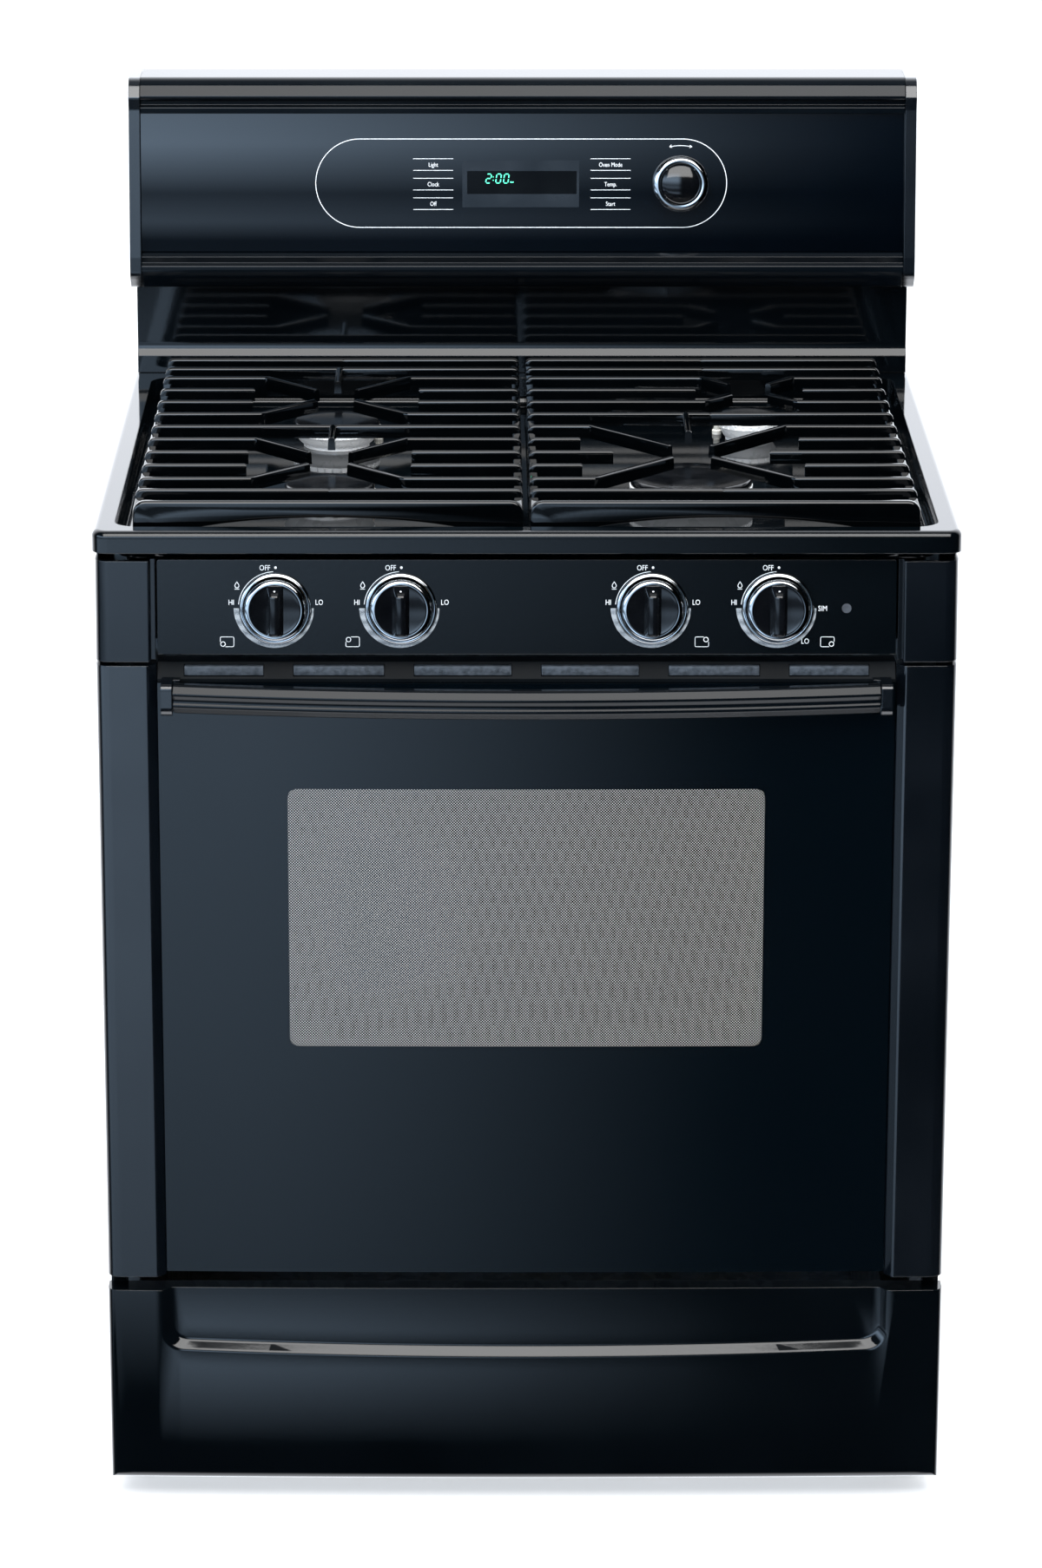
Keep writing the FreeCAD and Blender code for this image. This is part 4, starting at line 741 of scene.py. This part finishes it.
def make_grate(name, stars, breaks):
    low, high = (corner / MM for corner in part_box(name))
    rows = grate_rows(low.y + bar_width / 2)
    shape = bmesh.new()
    place = upright(0, 0, high.z * MM)
    gaps = dict(breaks)
    for x, bent, bent_gap, short, short_gap, nub, nub_length in stars:
        y = (rows[bent[0]] + rows[bent[1]]) / 2
        for row in bent:
            ahead = 1 if rows[row] > y else -1
            for side, rail in ((-1, low.x), (1, high.x)):
                take_in(shape, bar_between((rail, rows[row]), (x + side * bent_gap, rows[row]),
                                           (x + side * 19.0, y + ahead * 21.0), True), place)
        gaps.update({row: (x, short_gap) for row in short})
        if nub_length > 12:
            nub_bar = bar_between((0, 0), (nub_length, 0), None, False)
            bmesh.ops.rotate(nub_bar, cent=(0, 0, 0), matrix=Matrix.Rotation(-math.pi / 2, 3, "Z"),
                             verts=nub_bar.verts)
            bmesh.ops.translate(nub_bar, vec=(x, rows[nub], 0), verts=nub_bar.verts)
            take_in(shape, nub_bar, place)
    bent_rows = {row for star in stars for row in star[1]}
    for i, y in enumerate(rows[1:], 1):
        if i in bent_rows:
            continue
        middle, gap = gaps.get(i, ((low.x + high.x) / 2, 0.0))
        take_in(shape, bar_between((low.x, y), (middle - gap, y), None, True), place)
        take_in(shape, bar_between((high.x, y), (middle + gap, y), None, True), place)
    take_in(shape, front_wall(low.x, high.x, rows[0]), place)
    for x in (low.x, high.x - 8.0):
        rail = slab(x, x + 8.0, rows[0], high.y, -rail_drop, -bar_height + 4.5)
        rounded(rail, rail.edges[:], 1.5, 3)
        take_in(shape, rail, place)
    foot = (low.z - high.z)
    for x in (low.x, high.x - leg_size):
        for y in (rows[6] - leg_size / 2, high.y - leg_size):
            leg = slab(x, x + leg_size, y, y + leg_size, foot, -rail_drop + 2.0)
            rounded(leg, leg.edges[:], 2.0, 3)
            take_in(shape, leg, place)
    finished(shape, name + "_casting", name, finishes["cast_iron_enamel"], [name], 30.0,
             0.0001 * MM)


def make_grates():
    left_x, front_right_x, rear_right_x = -177.0, 151.0, 215.0
    make_grate("grate_left", [
        (left_x, (2, 5), 68.0, (3, 4), 74.0, 6, 52.0),
        (left_x, (7, 10), 68.0, (8, 9), 78.0, 11, 62.0),
    ], {})
    make_grate("grate_right", [
        (front_right_x, (2, 6), 89.0, (3, 5), 100.0, 7, 76.0),
        (rear_right_x, (8, 10), 43.0, (9,), 51.0, 11, 8.0),
    ], {4: (front_right_x, 71.0)})


# ---- burners ----
def make_burners():
    heads = bmesh.new()
    igniters = bmesh.new()
    tips = bmesh.new()
    for name in burner_names:
        node = "burner_cap_" + name
        low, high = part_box(node)
        x, y = (low.x + high.x) / 2, (low.y + high.y) / 2
        radius = (high.x - low.x) / 2 / MM + 0.5
        foot = radius * 0.76
        floor_z = low.z - head_height * MM
        bowl = [(foot + (radius - 1.0 - foot) * t, 3.0 + 10.0 * t ** 1.6)
                for t in (0, 0.2, 0.4, 0.6, 0.8, 1.0)]
        profile = [(throat, 0.3), (foot, 0.3)] + bowl + [
            (radius, 13.6), (radius, 17.6), (radius - 0.5, 18.0), (radius - 3.0, 18.0), (radius - 3.0, 14.0),
            (foot - 3.0, 5.0), (throat, 5.0)]
        ports = round(2 * math.pi * radius / port_pitch)
        head = turned(profile, steps=ports * 4, closed=True)
        rim = []
        for face in head.faces:
            middle = face.calc_center_median()
            step = round(math.atan2(middle.y, middle.x) / (2 * math.pi) * ports * 4 - 0.5)
            if middle.xy.length > radius - 0.3 and 14.0 < middle.z < 17.0 and step % 4 == 0:
                rim.append(face)
        cut = bmesh.ops.extrude_discrete_faces(head, faces=rim)["faces"]
        for face in cut:
            inward = face.calc_center_median()
            inward.z = 0
            bmesh.ops.translate(head, vec=inward.normalized() * -2.0, verts=face.verts)
        take_in(heads, head, upright(x, y, floor_z))

        edge = radius - 0.5
        cap = turned([(0, 0), (edge - 1.5, 0), (edge - 0.3, 0.6), (edge, 1.6)]
                     + arc(edge - 3.5, 3.4, 3.5, 0, 80, 8) + [(edge * 0.6, 6.96), (0, 7.0)], steps=96)
        placed = bmesh.new()
        take_in(placed, cap, upright(x, y, low.z))
        finished(placed, node + "_disc", node, finishes["cap_enamel"], [node], 40.0)

        angle = math.radians(35.0 if x < 0 else 145.0)
        px = x + (radius + 7.0) * MM * math.cos(angle)
        py = y + (radius + 7.0) * MM * math.sin(angle)
        pin = turned([(0, 0), (4.5, 0), (4.5, 3.6), (4.1, 4.0), (3.1, 4.4), (3.1, 6), (2.7, 6.4),
                      (3.1, 6.8), (3.1, 12.4),
                      (2.6, 13), (0, 13)], steps=32)
        take_in(igniters, pin, upright(px, py, floor_z))
        tip = turned([(0, 12.5), (0.9, 12.5), (0.9, 16.2), (0.5, 17), (0, 17)], steps=16)
        take_in(tips, tip, upright(px, py, floor_z))
    finished(heads, "burner_head_castings", "cabinet", finishes["cast_aluminium"],
             ["burner_heads"])
    finished(igniters, "igniter_insulators", "cabinet", finishes["white_ceramic"],
             ["spark_igniters"])
    finished(tips, "igniter_electrodes", "cabinet", finishes["oven_burner_steel"])


def make_vents():
    """Grey baffles behind the slots of the door's top trim."""
    low, high = (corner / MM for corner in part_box("door_top_trim"))
    shape = bmesh.new()
    start = vent_gap / 2
    for length in vent_lengths:
        for x in (start, -start - length):
            baffle = slab(x + 0.2, x + length - 0.2, low.y + 1.8, low.y + 12.0, low.z + 5.5, high.z - 3.0)
            rounded(baffle, baffle.edges[:], 0.8, 2)
            take_in(shape, baffle, Matrix.Scale(MM, 4))
        start += length + vent_gap
    finished(shape, "door_vent_baffles", "door", finishes["baffle"])


def make_well_cove():
    """The rounded foot of the well's back wall."""
    low, high = (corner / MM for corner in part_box("cooktop"))
    part = bmesh.new()
    rim = [(well_back, well_floor)] + [(y, z) for y, z in arc(
        well_back - cove_radius, well_floor + cove_radius, cove_radius, 0, -90, 10)]
    part.faces.new([part.verts.new((20.0 - well_half, y, z)) for y, z in rim])
    made = bmesh.ops.extrude_face_region(part, geom=part.faces[:])["geom"]
    bmesh.ops.translate(part, vec=(2 * well_half - 40.0, 0, 0),
                        verts=[g for g in made if isinstance(g, bmesh.types.BMVert)])
    shape = bmesh.new()
    take_in(shape, part, Matrix.Scale(MM, 4))
    finished(shape, "well_cove", "cabinet", finishes["black_enamel"])


# ---- controls ----
def flame(x, y):
    """A small flame with a base line."""
    part = bmesh.new()
    bmesh.ops.create_circle(part, cap_ends=True, segments=20, radius=2.1)
    for v in part.verts:
        if v.co.y > 0:
            v.co.x *= 1 - 0.9 * (v.co.y / 2.1) ** 1.6
            v.co.y *= 1.9
    inner = bmesh.ops.inset_individual(part, faces=part.faces[:], thickness=0.55)
    bmesh.ops.delete(part, geom=[f for f in part.faces if f not in inner["faces"]], context="FACES_ONLY")
    bmesh.ops.translate(part, vec=(x, y, 0), verts=part.verts)
    return print_slab(part)


def hob_plan(x, y, column, row):
    """The hob's outline with one burner marked: column and row are -1 or 1."""
    wide, high, r, w = 6.2, 4.6, 1.4, 0.5
    parts = []
    for sx in (-1, 1):
        for sy in (-1, 1):
            if (sx, sy) != (column, row):
                start = {(1, 1): 0, (-1, 1): 90, (-1, -1): 180, (1, -1): 270}[(sx, sy)]
                parts.append(band(r - w, r, start, start + 90, x + sx * (wide - r), y + sy * (high - r), 6))
    cut = 4.6
    for sy in (-1, 1):
        ends = [-wide + r, wide - r]
        if sy == row:
            ends[0 if column < 0 else 1] -= column * (cut - r)
        parts.append(line(x + ends[0], y + sy * (high - w / 2), x + ends[1], y + sy * (high - w / 2), w))
    for sx in (-1, 1):
        ends = [-high + r, high - r]
        if sx == column:
            ends[0 if row < 0 else 1] -= row * (cut - r)
        parts.append(line(x + sx * (wide - w / 2), y + ends[0], x + sx * (wide - w / 2), y + ends[1], w))
    parts.append(band(1.7, 2.3, 0, 360, x + column * (wide - 2.6), y + row * (high - 2.6), 24))
    return parts


def knob_legend(name):
    """What is printed round one knob; the front right burner simmers, so its low end lies further round."""
    simmers = name == "front_right"
    column = -1 if name.endswith("left") else 1
    row = -1 if name.startswith("front") else 1
    white = [word("OFF", -9.0, 33.6, 4.9), band(0, 1.15, 0, 360, 0.4, 36.0, 20), band(32.2, 32.7, 93, 174)]
    white += [flame(-33.5, 20.0), line(-35.6, 17.0, -31.4, 17.0, 0.5), word("HI", -38.6, 3.0, 4.9)]
    if simmers:
        white += [word("SIM", 35.0, -2.4, 4.9, align="LEFT"), word("LO", 24.0, -31.5, 4.9)]
    else:
        white.append(word("LO", 38.4, 3.0, 4.9))
    white += hob_plan((-42.5 if column < 0 else 43.5), -29.8, column, row)
    grey = [band(32.0, 36.6, 180, 360, steps=64, far=33.6)]
    return white, grey


def make_knobs():
    legends = bmesh.new()
    tones = bmesh.new()
    bezels = bmesh.new()
    for name in burner_names:
        turn = joints["knob_turn_" + name]
        face = facing(turn["pos_m"], turn["axis"])
        on_face = face @ Matrix.Translation((0, 0, print_lift))
        white, grey = knob_legend(name)
        for part in white:
            take_in(legends, part, on_face)
        for part in grey:
            take_in(tones, part, on_face)
        inner, outer = knob_bezel
        middle, wall = (inner + outer) / 2, (outer - inner) / 2
        bezel = turned([(inner, 0), (inner, 2.0)] + arc(middle, 2.1, wall, 180, 0, 12) + [(outer, 0)],
                       closed=True)
        take_in(bezels, bezel, face)

        body = "knob_" + name
        inner, outer = knob_ring
        skirt = turned([(inner - 2.0, 4.6), (outer - 0.5, 4.6), (outer, 5.2), (outer, 11.0)]
                       + arc(outer - 3.2, 11.5, 3.2, 0, 75, 8) + [(inner + 0.3, 14.5), (inner, 13.4)],
                       closed=True)
        ring = bmesh.new()
        take_in(ring, skirt, face)
        finished(ring, body + "_ring", body, finishes["chrome"])

        disc = turned([(0, 13.2), (inner - 3.0, 13.4), (inner - 0.6, 13.9), (inner - 0.1, 13.4),
                       (inner - 0.1, 5.0),
                       (4.5, 5.0), (4.5, 4.6), (0, 4.6)])
        grip = slab(-7.5, 7.5, -23.0, 23.0, 13.0, 29.0)
        for v in grip.verts:
            if v.co.z > 20:
                v.co.x *= 0.56
                v.co.y = 15.5 if v.co.y > 0 else -20.5
        rounded(grip, [e for e in grip.edges if max(v.co.z for v in e.verts) > 20], 2.6, 5)
        moulding = bmesh.new()
        take_in(moulding, disc, face)
        take_in(moulding, grip, face)
        finished(moulding, body + "_moulding", body, finishes["knob_plastic"], [body], 40.0)
        dot = band(0, 0.9, 0, 360, 0, 0, 16)
        tilt = Matrix.Translation((0, 18.6, 22.9)) @ Matrix.Rotation(math.radians(-61), 4, "X")
        mark = bmesh.new()
        take_in(mark, dot, face @ tilt)
        finished(mark, body + "_pointer", body, finishes["ink"])
    finished(bezels, "knob_bezel_rings", "cabinet", finishes["chrome"], ["knob_bezels"])
    finished(legends, "panel_legends", "cabinet", finishes["ink"])
    finished(tones, "panel_heat_arcs", "cabinet", finishes["grey_ink"])


# ---- console ----
def digit(lit, x, y, height):
    """A slanted seven-segment figure, lit bars named a to g."""
    wide, w, slant = height * 0.52, height * 0.11, 0.14
    bars = {"a": (0, 2, 1, 2), "b": (1, 1, 1, 2), "c": (1, 0, 1, 1), "d": (0, 0, 1, 0), "e": (0, 0, 0, 1),
            "f": (0, 1, 0, 2), "g": (0, 1, 1, 1)}
    parts = []
    for name in lit:
        x0, y0, x1, y1 = bars[name]
        ends = [Vector((x + wide * px + slant * height * py / 2, y + height * py / 2))
                for px, py in ((x0, y0), (x1, y1))]
        gap = (ends[1] - ends[0]).normalized() * w * 0.7
        parts.append(line(*(ends[0] + gap), *(ends[1] - gap), w))
    return parts


def make_console():
    turn = joints["dial_turn"]
    dial_at = Vector(turn["pos_m"])
    face = facing(dial_at, turn["axis"])
    dx, dz = dial_at.x / MM, dial_at.z / MM
    on_face = face @ Matrix.Translation((0, 0, print_lift))
    ink = bmesh.new()
    parts = []
    left, right, low, high = -199.8 - dx, 197.4 - dx, 1065.3 - dz, 1151.0 - dz
    r = (high - low) / 2
    w = 0.7
    for level in (high - w / 2, low + w / 2):
        parts.append(line(left + r, level, right - r, level, w))
    parts += [band(r - w, r, 90, 270, left + r, low + r, 48), band(r - w, r, -90, 90, right - r, low + r, 48)]
    rows = (1131.7, 1120.5, 1112.9, 1101.7, 1094.1, 1082.9)
    for x0, x1, words in ((-105.4, -66.8, ("Light", "Clock", "Off")),
                          (65.7, 104.3, ("Oven Mode", "Temp.", "Start"))):
        for z in rows:
            parts.append(line(x0 - dx, z - dz, x1 - dx, z - dz, 0.5))
        for text, above, below in zip(words, rows[::2], rows[1::2]):
            parts.append(word(text, (x0 + x1) / 2 - dx, (above + below) / 2 - dz - 2.1, 4.3, 0.8))
    parts.append(band(46.0, 46.6, 76.5, 103.5, 0, -10.0, 16))
    for side in (-1, 1):
        tip = Vector((side * 10.9, 35.1))
        for turn_by in (28, -32):
            away = Vector((-side * 2.6, 0.55)) @ Matrix.Rotation(math.radians(turn_by), 2)
            parts.append(line(*tip, *(tip + away), 0.55))
    for part in parts:
        take_in(ink, part, on_face)
    finished(ink, "console_legends", "cabinet", finishes["ink"])

    filter_pane = bmesh.new()
    take_in(filter_pane, slab(-58.0 - dx, 54.6 - dx, 1085.0 - dz, 1130.0 - dz, 0.02, 0.05), face)
    finished(filter_pane, "display_filter", "cabinet", finishes["filter"])
    window = bmesh.new()
    take_in(window, slab(-53.4 - dx, 52.3 - dx, 1097.8 - dz, 1119.9 - dz, 0.06, 0.09), face)
    finished(window, "display_window", "cabinet", finishes["display_black"])
    clock = bmesh.new()
    height = 8.6
    start = -35.5 - dx
    base = 1108.4 - dz
    figures = digit("abged", start, base, height) + digit("abcdef", start + 9.6, base, height)
    figures += digit("abcdef", start + 17.0, base, height)
    figures += [band(0, 0.5, 0, 360, start + 7.4, base + h, 10) for h in (2.6, 5.8)]
    figures += [line(start + 23.6, base + 0.8, start + 27.0, base + 0.8, 1.0)]
    for part in figures:
        take_in(clock, part, face @ Matrix.Translation((0, 0, print_lift)))
    finished(clock, "clock_figures", "cabinet", finishes["segments"])

    inner, outer = dial_ring
    rim = turned([(inner, 1.0), (outer - 1.5, 1.0), (outer - 0.4, 1.8), (outer, 3.5)]
                 + arc(outer - 5.0, 9.0, 5.0, 0, 80, 10) + [(inner + 0.8, 13.6), (inner, 12.4)], closed=True)
    shape = bmesh.new()
    take_in(shape, rim, face)
    finished(shape, "dial_ring", "dial", finishes["chrome"])
    dome = turned([(0, 15.4), (5, 15.2), (10, 14.5), (14, 13.6), (17, 12.6), (18.6, 11.6), (18.9, 10.6),
                   (18.9, 1.0), (0, 1.0)])
    shape = bmesh.new()
    take_in(shape, dome, face)
    for quarter in range(4):
        notch = slab(18.2, 19.9, -0.9, 0.9, 10.0, 13.4)
        rounded(notch, notch.edges[:], 0.3, 2)
        take_in(shape, notch, face @ Matrix.Rotation(math.radians(45 + 90 * quarter), 4, "Z"))
    finished(shape, "dial_cap", "dial", finishes["knob_plastic"], ["dial"], 40.0)


# ---- everything ----
def dress_frame():
    """Give each node of the frame the finish of its slot; three nodes get a finish of their own instead."""
    own = {"console_glass": "console_glass", "door_top_trim": "vent_coat",
           "console_trims": "black_painted_aluminium"}
    for name, node in frame["nodes"].items():
        slot = own.get(name, node.material_slots[0].material.name)
        node.material_slots[0].material = finishes[slot]


make_camera()
make_studio()
finishes = make_finishes()
scene.view_settings.view_transform = "Standard"
dress_frame()
make_drawer_front()
make_grates()
make_burners()
make_vents()
make_well_cove()
make_knobs()
make_console()
